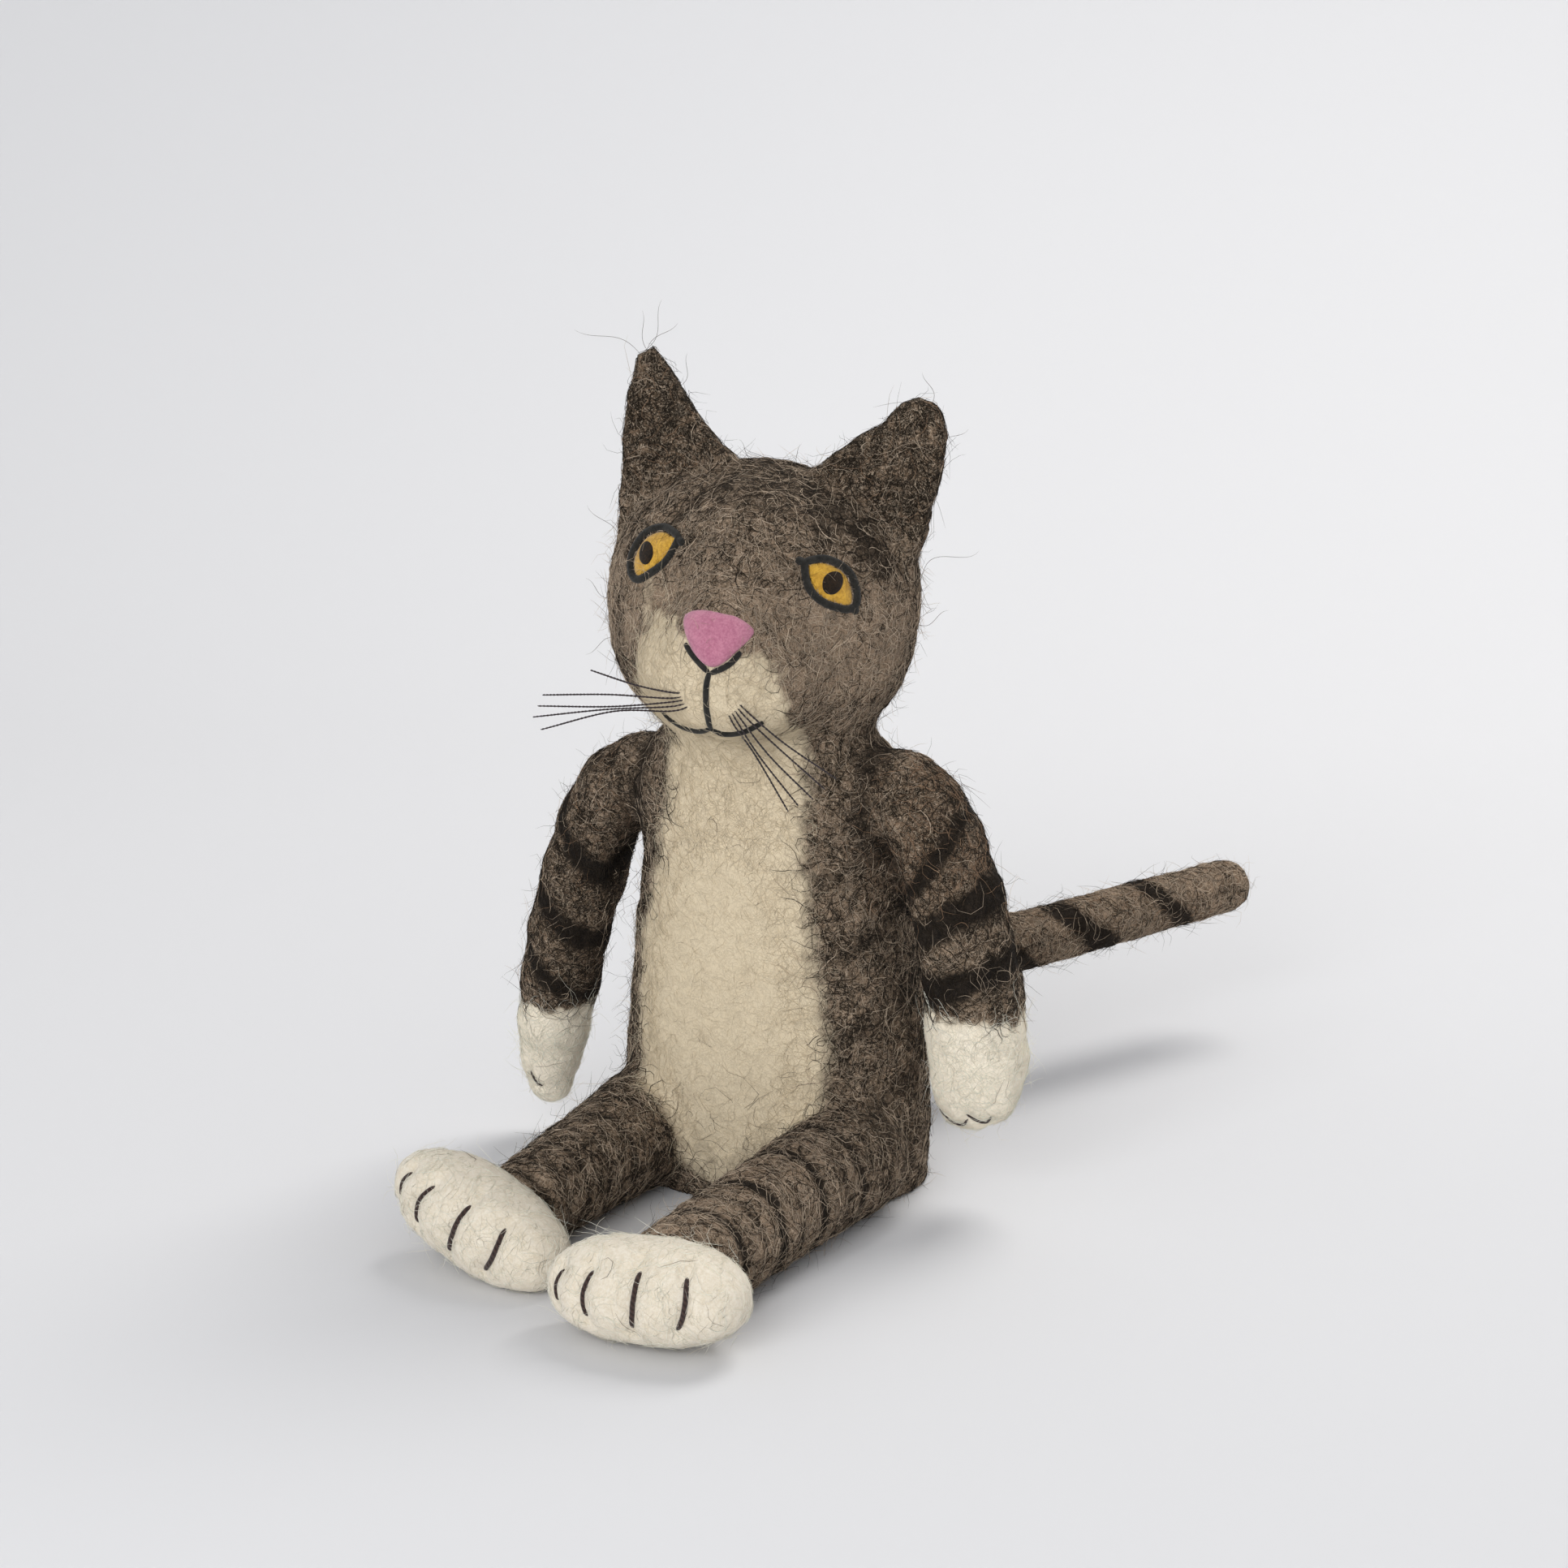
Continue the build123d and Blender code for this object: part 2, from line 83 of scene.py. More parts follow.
# height, half width, half depth and middle in Y of the body
BODY_OVALS = np.array([
    (-4, 44.0, 33.0, 0), (0, 44.6, 33.6, 0), (12, 45.6, 35.0, 0), (25, 45.6, 35.0, 0), (45, 44.2, 34.5, 0),
    (70, 41.8, 32.5, -0.5), (92, 39.0, 30.0, -1.0), (108, 36.5, 27.8, -2.0), (120, 32.5, 25.5, -4.0),
    (130, 29.0, 24.0, -6.0), (142, 27.0, 23.0, -7.0), (156, 27.0, 23.0, -8.0)])
BODY_TOP = 150.0  # the body's oval ends inside the head
BODY_WALL = 4.0
CAVITY_TOP = 121.0

HEAD_CENTRE = NECK + np.array([0, -4, 35])
HEAD_TILT = (-2, 5.7, 11.2)  # about X, then Y, then Z
EARS = {  # outlines in the head's own X and Z; the last two points are buried in the skull
    "right": [(-42.5, 18), (-43.8, 36), (-44.0, 51), (-43.4, 63.5), (-40.6, 67.0), (-36.6, 65.6),
              (-26.6, 53.4), (-17.6, 45.4), (-9.5, 38.6), (-12, 24), (-34, 8)],
    "left": [(10.5, 39.6), (16.2, 45.6), (22.9, 51.6), (28.4, 55.9), (31.0, 59.6), (35.2, 63.4), (40.6, 63.6),
             (45.0, 58.8), (46.2, 49.9), (45.0, 36), (41.5, 19), (34, 8), (12, 24)]}
EAR_CUT = {"left": ((10, 39), (43.8, 19)), "right": ((-10, 39), (-43.8, 19))}
EARS_ABOVE = 160  # no part of an ear is lower
EAR_CUT_RISE = 4.2  # the cut lies this far outside the line from ear root to ear root
NECK_CUT_NORMAL = np.array([0, -0.349, 0.937])
NECK_CUT_POINT = NECK + np.array([0, 6, -5])
NECK_ABOVE = 100  # the neck and the head are higher than this
NECK_START, NECK_END, HEAD_END = 4.5, 9.0, 17.0  # distances along the normal where neck and head take over

ARMS = {  # centre line and radius from the shoulder to the wrist, then the paw
    "left": [(46.5, -5, 112.6, 12.9), (52.6, -5.8, 103.5, 12.9), (57.8, -6, 91, 12.8), (61.2, -6, 78, 12.9),
             (63, -5.2, 66, 13.3), (63.4, -5, 57, 13.8)],
    "right": [(-47.0, -4.6, 109.0, 12.5), (-53.2, -5, 98.5, 12.2), (-59.2, -5.8, 83, 11.8),
              (-64.6, -6, 65, 11.2), (-68.6, -5, 48.5, 10.8)]}
PAWS = {"left": [(63.4, -5, 57, 13.8), (63.6, -5, 46, 15.0), (63.7, -5, 38.4, 14.4)],
        "right": [(-68.6, -5, 48.5, 10.8), (-71.0, -4.6, 36, 10.2), (-72.6, -4, 25, 8.4),
                  (-72.9, -3.4, 16.6, 6.6)]}
PAW_FLATTEN = {"left": 0.84, "right": 0.96}  # depth of the paw over its width
CUFFS = {"left": 59.0, "right": 42.5}
ARM_BANDS = {"left": [(104, 2.6, 0.75), (88, 4.6, 0.5), (71.0, 4.4, 0.4)],  # height, half width, slope
             "right": [(96, 3.4, 0.85), (75, 3.4, 0.8), (57, 3.0, 0.8)]}

FOOT_TURN = {"left": 0.0, "right": -15.0}
FOOT_HALVES = {"left": np.array([28.3, 14.0, 13.4]), "right": np.array([30.0, 14.0, 12.8])}
FOOT_LIFT = 14.6  # height of the foot's middle
FOOT_SHIFT = {"left": (-3.6, 7.0), "right": (-3.0, 7.0)}  # from the middle of the CAD's foot, in X and Y
FOOT_ROLL = {"left": 3.0, "right": -15.0}  # degrees that the outer edge is raised
LEG_R = {"left": (16.0, 13.8), "right": (16.6, 12.2)}
LEG_X = {"left": 34.0, "right": -29.5}  # the visible leg's root
LEG_CUT_Y = -36.0
LEG_BEND_END_Y = -60.0
LEG_TOP = 60  # no part of a leg is higher
LEG_RINGS = {"left": [(-114, 0.7, 0.5), (-104, 1.6, 1.0), (-94, 0.8, 0.6), (-84, 2.2, 1.0), (-73, 0.9, 0.7),
                      (-62, 1.8, 1.0), (-51, 0.9, 0.6), (-42, 1.6, 0.9)],
             "right": [(-95, 1.2, 0.7), (-86, 0.9, 0.7), (-77, 1.3, 0.8), (-67, 0.9, 0.6), (-56, 1.2, 0.6)]}

TAIL_TIP = np.array([72.4, 175.8, 47.2])
TAIL_R = (9.5, 8.2)
TAIL_BEND = (-3.0, 16.0)
TAIL_BANDS = [(52, 6.5), (87, 5.8), (122, 4.0)]  # distance from the root and half width

EYES = {  # outline of the amber, ends of the black tails and pupil, in the head's own X and Z
    "left": {"amber": [(18.2, 19.7), (21.9, 20.4), (25.9, 18.9), (28.9, 15.8), (30.4, 9.8), (25.8, 10.2),
                       (22.4, 12.0), (19.9, 14.8)],
             "tails": [(15.2, 20.9), (32.0, 7.4)], "pupil": (24.8, 15.2), "pupil_half": (2.4, 3.0)},
    "right": {"amber": [(-19.2, 20.9), (-21.4, 15.6), (-25.3, 11.7), (-29.7, 8.7), (-31.7, 11.8),
                        (-30.6, 16.6), (-27.8, 20.0), (-23.5, 21.7)],
              "tails": [(-16.2, 20.4), (-32.2, 8.2)], "pupil": (-27.2, 15.2), "pupil_half": (2.2, 2.9)}}
# height of the cream wool's edges and their X on the cat's right and left
BELLY_EDGES = np.array([(4, 0, 1), (8, -11, 12), (14, -18, 19), (26, -27, 27), (40, -32, 28), (55, -33, 27),
                        (72, -31.5, 24.5), (94, -27, 21), (110, -23, 20), (120, -22, 20.5), (132, -24, 21.5)])

rng = np.random.default_rng(20)
NOISE_SIDE = 32
NOISE_TABLE = rng.random((NOISE_SIDE, NOISE_SIDE, NOISE_SIDE))


# ---- small mathematics --------------------------------------------------------------------------------
def turn_matrix(x, y, z):
    """Rotation about X, then Y, then Z, in degrees."""
    turns = [Matrix.Rotation(math.radians(a), 3, axis) for a, axis in ((z, "Z"), (y, "Y"), (x, "X"))]
    return np.array(turns[0] @ turns[1] @ turns[2])


HEAD_AXES = turn_matrix(*HEAD_TILT)


def to_head(points):
    return (points - HEAD_CENTRE) @ HEAD_AXES


def from_head(points):
    return np.asarray(points, float) @ HEAD_AXES.T + HEAD_CENTRE


def unit(vectors):
    length = np.linalg.norm(vectors, axis=-1, keepdims=True)
    return vectors / np.maximum(length, 1e-9)


def ramp(x):
    """Smooth step from 0 to 1."""
    x = np.clip(x, 0, 1)
    return x * x * (3 - 2 * x)


def soft(distance, width):
    """1 inside a region, 0 outside, over a soft edge of that width."""
    return ramp(0.5 - distance / width)


def noise(points, size, shift=0.0):
    """Smooth noise from -1 to 1 with lumps of that size."""
    q = points / size + shift
    cell = np.floor(q).astype(int)
    f = ramp(q - cell)
    total = np.zeros(len(points))
    for corner in np.ndindex(2, 2, 2):
        weight = np.prod(np.where(corner, f, 1 - f), axis=1)
        i, j, k = ((cell + corner) % NOISE_SIDE).T
        total += weight * NOISE_TABLE[i, j, k]
    return total * 2 - 1


def smooth_line(points, count):
    """A smooth line through a few points, evenly spaced."""
    points = np.asarray(points, float)
    padded = np.concatenate([[2 * points[0] - points[1]], points, [2 * points[-1] - points[-2]]])
    dense = []
    for a, b, c, d in zip(padded, padded[1:], padded[2:], padded[3:]):
        t = np.linspace(0, 1, 12, endpoint=False)[:, None]
        dense.append(0.5 * (2 * b + (c - a) * t + (2 * a - 5 * b + 4 * c - d) * t ** 2
                            + (3 * b - a - 3 * c + d) * t ** 3))
    dense = np.concatenate(dense + [points[-1:]])
    length = np.concatenate([[0], np.cumsum(np.linalg.norm(np.diff(dense, axis=0), axis=1))])
    even = np.linspace(0, length[-1], count)
    return np.stack([np.interp(even, length, column) for column in dense.T], 1)


# ---- distance fields ----------------------------------------------------------------------------------
def join(a, b, k):
    """Union of two shapes with a fillet of about k."""
    k = np.maximum(k, 1e-3)
    h = np.clip(0.5 + 0.5 * (b - a) / k, 0, 1)
    return b + (a - b) * h - k * h * (1 - h)


def cut(a, b, k):
    """Shape a without shape b, with an edge rounded by about k."""
    return -join(-a, b, k)


def ellipsoid(points, centre, radii):
    q = (points - centre) / radii
    k0 = np.linalg.norm(q, axis=1)
    k1 = np.linalg.norm(q / radii, axis=1)
    return k0 * (k0 - 1) / np.maximum(k1, 1e-6)


def bone(points, a, b, ra, rb):
    """Round bar whose radius changes from ra to rb."""
    a, b = np.asarray(a, float), np.asarray(b, float)
    along = b - a
    t = np.clip((points - a) @ along / (along @ along), 0, 1)
    return np.linalg.norm(points - a - t[:, None] * along, axis=1) - (ra + (rb - ra) * t)


def limb(points, stations, k=3.0):
    """Round bars through (x, y, z, radius) stations."""
    total = None
    for a, b in zip(stations, stations[1:]):
        d = bone(points, a[:3], b[:3], a[3], b[3])
        total = d if total is None else join(total, d, k)
    return total


HEIGHTS = np.arange(BODY_OVALS[0, 0], BODY_OVALS[-1, 0], 1.0)
SMOOTHING = np.hanning(17)[1:-1]
SMOOTHING = SMOOTHING / SMOOTHING.sum()
OVAL_CURVES = [np.convolve(np.pad(np.interp(HEIGHTS, BODY_OVALS[:, 0], c), 7, "edge"), SMOOTHING, "valid")
               for c in BODY_OVALS[:, 1:].T]


def body_oval(points, shrink=0.0):
    a, b, middle = (np.interp(points[:, 2], HEIGHTS, c) for c in OVAL_CURVES)
    a, b = a - shrink, b - shrink
    u, v = points[:, 0] / a, (points[:, 1] - middle) / b
    k0 = np.hypot(u, v)
    return k0 * (k0 - 1) / np.maximum(np.hypot(u / a, v / b), 1e-6)


def shoulder_bar(points, side):
    """Round bar about the shoulder joint's own axis."""
    _, y, z = SHOULDERS[side]
    return np.hypot(points[:, 1] - y, points[:, 2] - z) - SHOULDER_R


def shoulder_fade(points, reach):
    """0 at the two planes where the arms are cut off, 1 further away than reach."""
    return ramp(np.abs(np.abs(points[:, 0]) - SHOULDER_X) / reach)


def segment_distance(x, z, start, end):
    """Distance from the straight line between two points of a plane."""
    (x0, z0), (x1, z1) = start, end
    ex, ez = x1 - x0, z1 - z0
    t = np.clip(((x - x0) * ex + (z - z0) * ez) / (ex * ex + ez * ez), 0, 1)
    return np.hypot(x - x0 - t * ex, z - z0 - t * ez)


def polygon(x, z, corners):
    """Distance to a polygon in a plane, negative inside."""
    corners = np.asarray(corners, float)
    nearest = np.full(len(x), 1e9)
    inside = np.zeros(len(x), bool)
    for (x0, z0), (x1, z1) in zip(corners, np.roll(corners, -1, axis=0)):
        nearest = np.minimum(nearest, segment_distance(x, z, (x0, z0), (x1, z1)))
        if z1 != z0:
            inside ^= ((z0 > z) != (z1 > z)) & (x < x0 + (z - z0) * (x1 - x0) / (z1 - z0))
    return np.where(inside, -nearest, nearest)


EAR_THICKNESS = (9.6, 6.6)  # at the root and at the tip
EAR_ROOT_Z, EAR_TIP_Z = 25.0, 66.0
EAR_ROUND = 3.2
EAR_Y = 3.0
EAR_CUP = 3.0  # the ear's edges stand this far forward of its middle


EAR_OUTLINES = {side: smooth_line(EARS[side] + EARS[side][:1], 33)[:-1] for side in SIDES}


def ear(q, side):
    """A flat, slightly cupped ear in the head's own frame."""
    x, y, z = q.T
    share = np.clip((z - EAR_ROOT_Z) / (EAR_TIP_Z - EAR_ROOT_Z), 0, 1)
    thick = EAR_THICKNESS[0] + (EAR_THICKNESS[1] - EAR_THICKNESS[0]) * share
    middle = SIDES[side] * (29 + 9 * share)
    cup = EAR_CUP * np.clip(((x - middle) / 14) ** 2, 0, 1.5)
    d2 = polygon(x, z, EAR_OUTLINES[side]) + EAR_ROUND
    across = np.abs(y - EAR_Y + cup) - thick / 2 + EAR_ROUND
    outside = np.hypot(np.maximum(d2, 0), np.maximum(across, 0))
    inside = np.minimum(np.maximum(d2, across), 0)
    return outside + inside - EAR_ROUND


def head_field(q):
    d = ellipsoid(q, (0, 3, 5), (43.6, 36.5, 35.6))
    d = join(d, ellipsoid(q, (0, 2, -11), (41.0, 33.0, 29.0)), 8)
    d = join(d, bone(q, (0, -18, 20), (0, -36.5, -1), 14.5, 12.5), 9)
    d = join(d, ellipsoid(q, (0, -27, -13), (25, 21.0, 18.3)), 8)
    for side in SIDES:
        near = (q[:, 2] > 0) & (SIDES[side] * q[:, 0] > -5)
        if near.any():
            d[near] = join(d[near], ear(q[near], side), 4)
    return d


def leg_end(side):
    """Where the leg's centre line meets the back of the foot."""
    return foot_centre(side) - toe_direction(side) * (FOOT_HALVES[side][1] + 2.0)


def toe_direction(side):
    a = math.radians(FOOT_TURN[side])
    return np.array([math.sin(a), -math.cos(a), 0.0])


def foot_centre(side):
    low, high = box_mm(f"foot_{side}")
    middle = (low[:2] + high[:2]) / 2 + FOOT_SHIFT[side]
    return np.array([*middle, FOOT_LIFT])


FOOT_CENTRES = {side: foot_centre(side) for side in SIDES}
LEG_ENDS = {side: leg_end(side) for side in SIDES}
TAIL_ALONG = unit(TAIL_TIP - TAIL_ROOT)


def lumps(points):
    """The unevenness of hand-felted wool."""
    return 0.42 * noise(points, 9.0) + 0.26 * noise(points, 3.7, 5.3) + 0.12 * noise(points, 1.9, 9.1)


def groove(distance, width):
    return np.exp(-(distance / width) ** 2)


def leg_grooves(points, side):
    total = np.zeros(len(points))
    for y, width, strength in LEG_RINGS[side]:
        total += 0.8 * strength * groove(ring_offset(points, side, y), 1.3 + width)
    return total


def ring_offset(points, side, y):
    """Distance from a ring of wool wound round the leg, which leans back a little at the top."""
    wander = 1.6 * noise(points, 22.0, 3.7 + SIDES[side])
    return points[:, 1] - y - 0.10 * (points[:, 2] - HIP_Z) + wander


def body_field(p):
    """The body's front by itself, for the wool laid over it."""
    return body_oval(p) + lumps(p)


def skin_field(p):
    """Body, head, legs and tail in one skin, hollow for the hand."""
    d = body_oval(p)
    d = np.maximum(d, p[:, 2] - BODY_TOP)
    for side, sign in SIDES.items():
        stub = np.maximum(shoulder_bar(p, side), np.maximum(sign * p[:, 0] - SHOULDER_X - 3, -sign * p[:, 0]))
        d = join(d, stub, 14 * shoulder_fade(p, 8) * (sign * p[:, 0] < SHOULDER_X))
        leg = bone(p, (LEG_X[side], -22, LEG_R[side][0] - 0.5), LEG_ENDS[side] - (0, 0, 1.0), *LEG_R[side])
        d = join(d, leg, 4.5)
        on_leg = (p[:, 1] < LEG_CUT_Y - 2) & (p[:, 2] < LEG_TOP) & (sign * p[:, 0] > 0)
        if on_leg.any():
            d[on_leg] += leg_grooves(p[on_leg], side)
    d = join(d, bone(p, TAIL_ROOT - TAIL_ALONG * 14, TAIL_TIP, *TAIL_R), 5)
    head = head_field(to_head(p))
    d = join(d, head, 7)
    near_ring = ramp((p[:, 2] - 92) / 6) * ramp((145 - p[:, 2]) / 6)
    d = d + lumps(p) * (1 - near_ring * (1 - shoulder_fade(p, 5)))
    cavity = np.maximum(body_oval(p, BODY_WALL), p[:, 2] - CAVITY_TOP)
    d = cut(d, cavity, 2.0)
    return cut(d, p[:, 2], 1.2)


PAW_STITCHES = {  # lines in X and Z
    "left": [[(56.8, 30.5), (59.6, 26.8), (63.2, 26.4), (65.6, 29.0)],
             [(65.8, 31.0), (69.2, 27.6), (71.6, 29.8)]],
    "right": [[(-75.5, 21), (-74.4, 17), (-72.6, 16.4)]]}


def line_distance(x, z, corners):
    """Distance from a line through points in a plane."""
    nearest = np.full(len(x), 1e9)
    for start, end in zip(corners, corners[1:]):
        nearest = np.minimum(nearest, segment_distance(x, z, start, end))
    return nearest


def arm_field(p, side):
    reach = np.abs(p[:, 0]) - SHOULDER_X
    arm = limb(p, [(*SHOULDERS[side], SHOULDER_R)] + ARMS[side])
    flat = p.copy()
    flat[:, 1] = PAWS[side][0][1] + (p[:, 1] - PAWS[side][0][1]) / PAW_FLATTEN[side]
    paw = limb(flat, PAWS[side]) * PAW_FLATTEN[side]
    for line in PAW_STITCHES[side]:
        on_line = line_distance(p[:, 0], p[:, 2], line)
        paw = paw + 0.8 * groove(on_line, 1.5) * ramp(-p[:, 1] / 5)
    arm = join(arm, paw, 4)
    round_seat = shoulder_bar(p, side) - 1.3 * np.maximum(reach, 0) - 6 * np.maximum(reach - 7, 0)
    d = cut(arm, -round_seat, 6 * ramp(reach / 8))
    d = np.maximum(d, -reach - 2)
    return d + lumps(p) * ramp(reach / 5)


FOOT_STITCHES = [  # place across the foot, half length, bow and thickness
    (-21.4, 4.6, -1.6, 0.8), (-11.2, 6.6, -1.8, 0.95), (2.0, 8.0, 0.0, 1.15), (14.2, 7.2, 1.8, 1.15)]


def to_foot(points, side):
    """Across, towards the toes and up, from the foot's middle."""
    return (points - FOOT_CENTRES[side]) @ foot_axes(side).T


def from_foot(points, side):
    return np.asarray(points, float) @ foot_axes(side) + FOOT_CENTRES[side]


def foot_axes(side):
    """Across, towards the toes and up, rolled about the toes' direction."""
    toe = toe_direction(side)
    across = np.array([-toe[1], toe[0], 0.0])
    roll = math.radians(FOOT_ROLL[side])
    up = np.array([0, 0, 1.0])
    rolled_across = across * math.cos(roll) + up * math.sin(roll)
    rolled_up = up * math.cos(roll) - across * math.sin(roll)
    return np.array([rolled_across, toe, rolled_up])


def stitch_line(u, z, stitch):
    """How far a point of the foot's front lies from a toe stitch."""
    place, half, bow, _ = stitch
    share = np.clip(z / half, -1, 1)
    return np.hypot(u - place - 1.2 * share - bow * (1 - share ** 2), np.maximum(np.abs(z) - half, 0))


def foot_field(p, side):
    q = to_foot(p, side)
    power = 2.35
    half = FOOT_HALVES[side]
    s = (np.abs(q / half) ** power).sum(axis=1)
    k0 = s ** (1 / power)
    gradient = (np.abs(q / half) ** (power - 1) / half) * (np.maximum(s, 1e-9) ** (1 / power - 1))[:, None]
    d = (k0 - 1) / np.maximum(np.linalg.norm(gradient, axis=1), 1e-3)
    front = ramp(q[:, 1] / 6)
    for stitch in FOOT_STITCHES:
        d = d + 1.7 * front * groove(stitch_line(q[:, 0], q[:, 2] - 1.5, stitch), 2.6)
    d = d + 0.8 * lumps(p)
    return cut(d, p[:, 2], 2.0)


# ---- from field to mesh -------------------------------------------------------------------------------
BLOCK = 8


def sample(field, low, high, step):
    """Field values on a grid, worked out only in the blocks near the surface."""
    counts = np.ceil((high - low) / step / BLOCK).astype(int)
    blocks = np.indices(counts).reshape(3, -1).T
    at_centres = field(low + (blocks + 0.5) * BLOCK * step)
    far = np.sign(at_centres).astype(np.float32).reshape(counts)
    values = np.repeat(np.repeat(np.repeat(far, BLOCK, 0), BLOCK, 1), BLOCK, 2) * 99
    view = values.reshape(counts[0], BLOCK, counts[1], BLOCK, counts[2], BLOCK)
    near = blocks[np.abs(at_centres) < 1.25 * BLOCK * step + 3]
    offsets = np.indices((BLOCK, BLOCK, BLOCK)).reshape(3, -1).T
    for part in np.array_split(near, max(1, len(near) // 150)):
        points = low + step * (part[:, None] * BLOCK + offsets[None])
        found = field(points.reshape(-1, 3)).reshape(-1, BLOCK, BLOCK, BLOCK)
        i, j, k = part.T
        view[i, :, j, :, k, :] = found
    return values


def surface_nets(values, low, step):
    """Vertices and quads of the zero surface."""
    inside = values < 0
    count = sum(inside[i:i + s[0], j:j + s[1], k:k + s[2]].astype(np.int8)
                for s in [np.array(values.shape) - 1] for i, j, k in np.ndindex(2, 2, 2))
    active = (count > 0) & (count < 8)
    cells = np.argwhere(active)
    index = np.full(active.shape, -1, np.int32)
    index[active] = np.arange(len(cells))
    total = np.zeros((len(cells), 3))
    hits = np.zeros(len(cells))
    faces = []
    for axis in range(3):
        step_along = np.eye(3, dtype=int)[axis]
        b, c = np.eye(3, dtype=int)[(axis + 1) % 3], np.eye(3, dtype=int)[(axis + 2) % 3]
        for i, j in np.ndindex(2, 2):
            start = cells + i * b + j * c
            v0, v1 = values[tuple(start.T)], values[tuple((start + step_along).T)]
            crossing = (v0 < 0) != (v1 < 0)
            t = v0 / np.where(crossing, v0 - v1, 1)
            total += np.where(crossing[:, None], i * b + j * c + t[:, None] * step_along, 0)
            hits += crossing
        low_side = [slice(1, -1)] * 3
        low_side[axis] = slice(0, -1)
        high_side = [slice(1, -1)] * 3
        high_side[axis] = slice(1, None)
        at_low, at_high = inside[tuple(low_side)], inside[tuple(high_side)]
        first = np.ones(3, int)
        first[axis] = 0
        nodes = np.argwhere(at_low != at_high) + first
        outward = inside[tuple(nodes.T)]
        around = ((1, 1), (0, 1), (0, 0), (1, 0))
        quads = np.stack([index[tuple((nodes - m * b - n * c).T)] for m, n in around], 1)
        quads[~outward] = quads[~outward][:, ::-1]
        faces.append(quads)
    return low + step * (cells + total / hits[:, None]), np.concatenate(faces)


def slope(field, points, reach=0.35):
    """Gradient of a field."""
    rise = [field(points + reach * e) - field(points - reach * e) for e in np.eye(3)]
    return np.stack(rise, 1) / (2 * reach)


def settle(field, points, rounds=3, height=0.0):
    """Moves points onto the surface, or to a height above it."""
    for _ in range(rounds):
        g = slope(field, points)
        size = np.maximum((g * g).sum(axis=1), 0.2)
        points = points - g * ((field(points) - height) / size)[:, None]
    return points


def mesh_of(field, low, high, step=VOXEL):
    low, high = np.asarray(low, float), np.asarray(high, float)
    vertices, quads = surface_nets(sample(field, low, high, step), low, step)
    return settle(field, vertices), quads


def cast(field, points, direction, rounds=60):
    """Marches points along a direction until they meet the surface."""
    direction = unit(np.asarray(direction, float))
    for _ in range(rounds):
        points = points + direction * (0.8 * field(points))[:, None]
    return points


# ---- masks of the wool's colours ----------------------------------------------------------------------
HEAD_LINES = [  # lines of dark wool on the face, in the head's own X and Z, with half widths
    ([(-3, 38.5), (-9, 36.5), (-14.1, 33.2), (-19.3, 26.7), (-22.3, 22.2)], 1.3),
    ([(11.8, 37.7), (15.6, 34.6), (18.6, 31.2), (21.8, 25.0)], 2.2),
    ([(20.2, 34.0), (24.5, 29.8), (29, 26.4), (36.5, 18.0)], 2.2)]
MUZZLE_PATCH = [  # outline of the cream wool on the face
    (-10.5, 0.5), (-15, 2.5), (-20, 1.5), (-24, -1.5), (-25.5, -9), (-27, -18), (-28, -28), (-27, -42),
    (22, -42), (20.5, -31), (19.3, -22), (19.2, -16), (17.7, -8), (13.6, -3.8), (7.8, -3.0), (0, -5)]


def head_masks(p):
    q = to_head(p)
    x, y, z = q.T
    wander = 1.1 * noise(p, 4.0) + 0.7 * noise(p, 1.7, 2.2)
    front = soft(y + 4, 10)
    stripe = np.zeros(len(p))
    for corners, half in HEAD_LINES:
        line = soft(line_distance(x, z, corners) - half + 0.9 * wander, 3.4)
        stripe = np.maximum(stripe, 0.72 * front * line)
    crown = soft(np.abs(x) - 13 + wander, 8) * soft(30 - z, 8)
    stripe = np.maximum(stripe, 0.45 * crown)
    for k in range(-1, 2):
        back = soft(18 - y, 10) * soft(np.abs(x - 15 * k + 0.25 * z) - 2.6 + wander, 3)
        stripe = np.maximum(stripe, 0.6 * back * soft(np.abs(z - 8) - 24, 8))
    cheek = soft(np.abs(x + 36 + 0.12 * z) - 1.8 + wander, 4) * soft(np.abs(z + 10) - 14, 6) * front
    stripe = np.maximum(stripe, 0.55 * cheek)
    cream = soft(polygon(x, z, MUZZLE_PATCH) + 1.3 * wander, 5.5) * soft(y + 10, 10)
    tongue = soft(np.abs(x + 25) - 2.5 + wander, 5) * soft(np.abs(z - 4) - 8, 8) * front
    cream = np.maximum(cream, 0.42 * tongue)
    ears = np.zeros(len(p))
    for side in SIDES:
        ears = np.maximum(ears, soft(-ear_height(q, side) + wander, 7))
    tone = 0.50 - 0.36 * ears + 0.32 * soft(np.abs(z + 2) - 14, 14) * front
    return stripe * (1 - ears), cream, tone, 0.5 * ears


def ear_height(q, side):
    """How far a point in the head's frame stands out of the plane that cuts the ear off."""
    (x0, z0), (x1, z1) = EAR_CUT[side]
    normal = np.array([z0 - z1, abs(x1 - x0)])
    normal = normal / np.hypot(*normal)
    height = (q[:, 0] - x0) * SIDES[side] * normal[0] + (q[:, 2] - z0) * normal[1] - EAR_CUT_RISE
    return np.where(SIDES[side] * q[:, 0] > 6, height, -9)


def belly_distance(p):
    """Distance, roughly, from the outline of the cream wool on the front of the body."""
    low, high = (np.interp(p[:, 2], BELLY_EDGES[:, 0], c) for c in BELLY_EDGES[:, 1:].T)
    aside = np.maximum(low - p[:, 0], p[:, 0] - high)
    return np.maximum(aside, np.maximum(BELLY_EDGES[0, 0] - p[:, 2], p[:, 1] + 8))


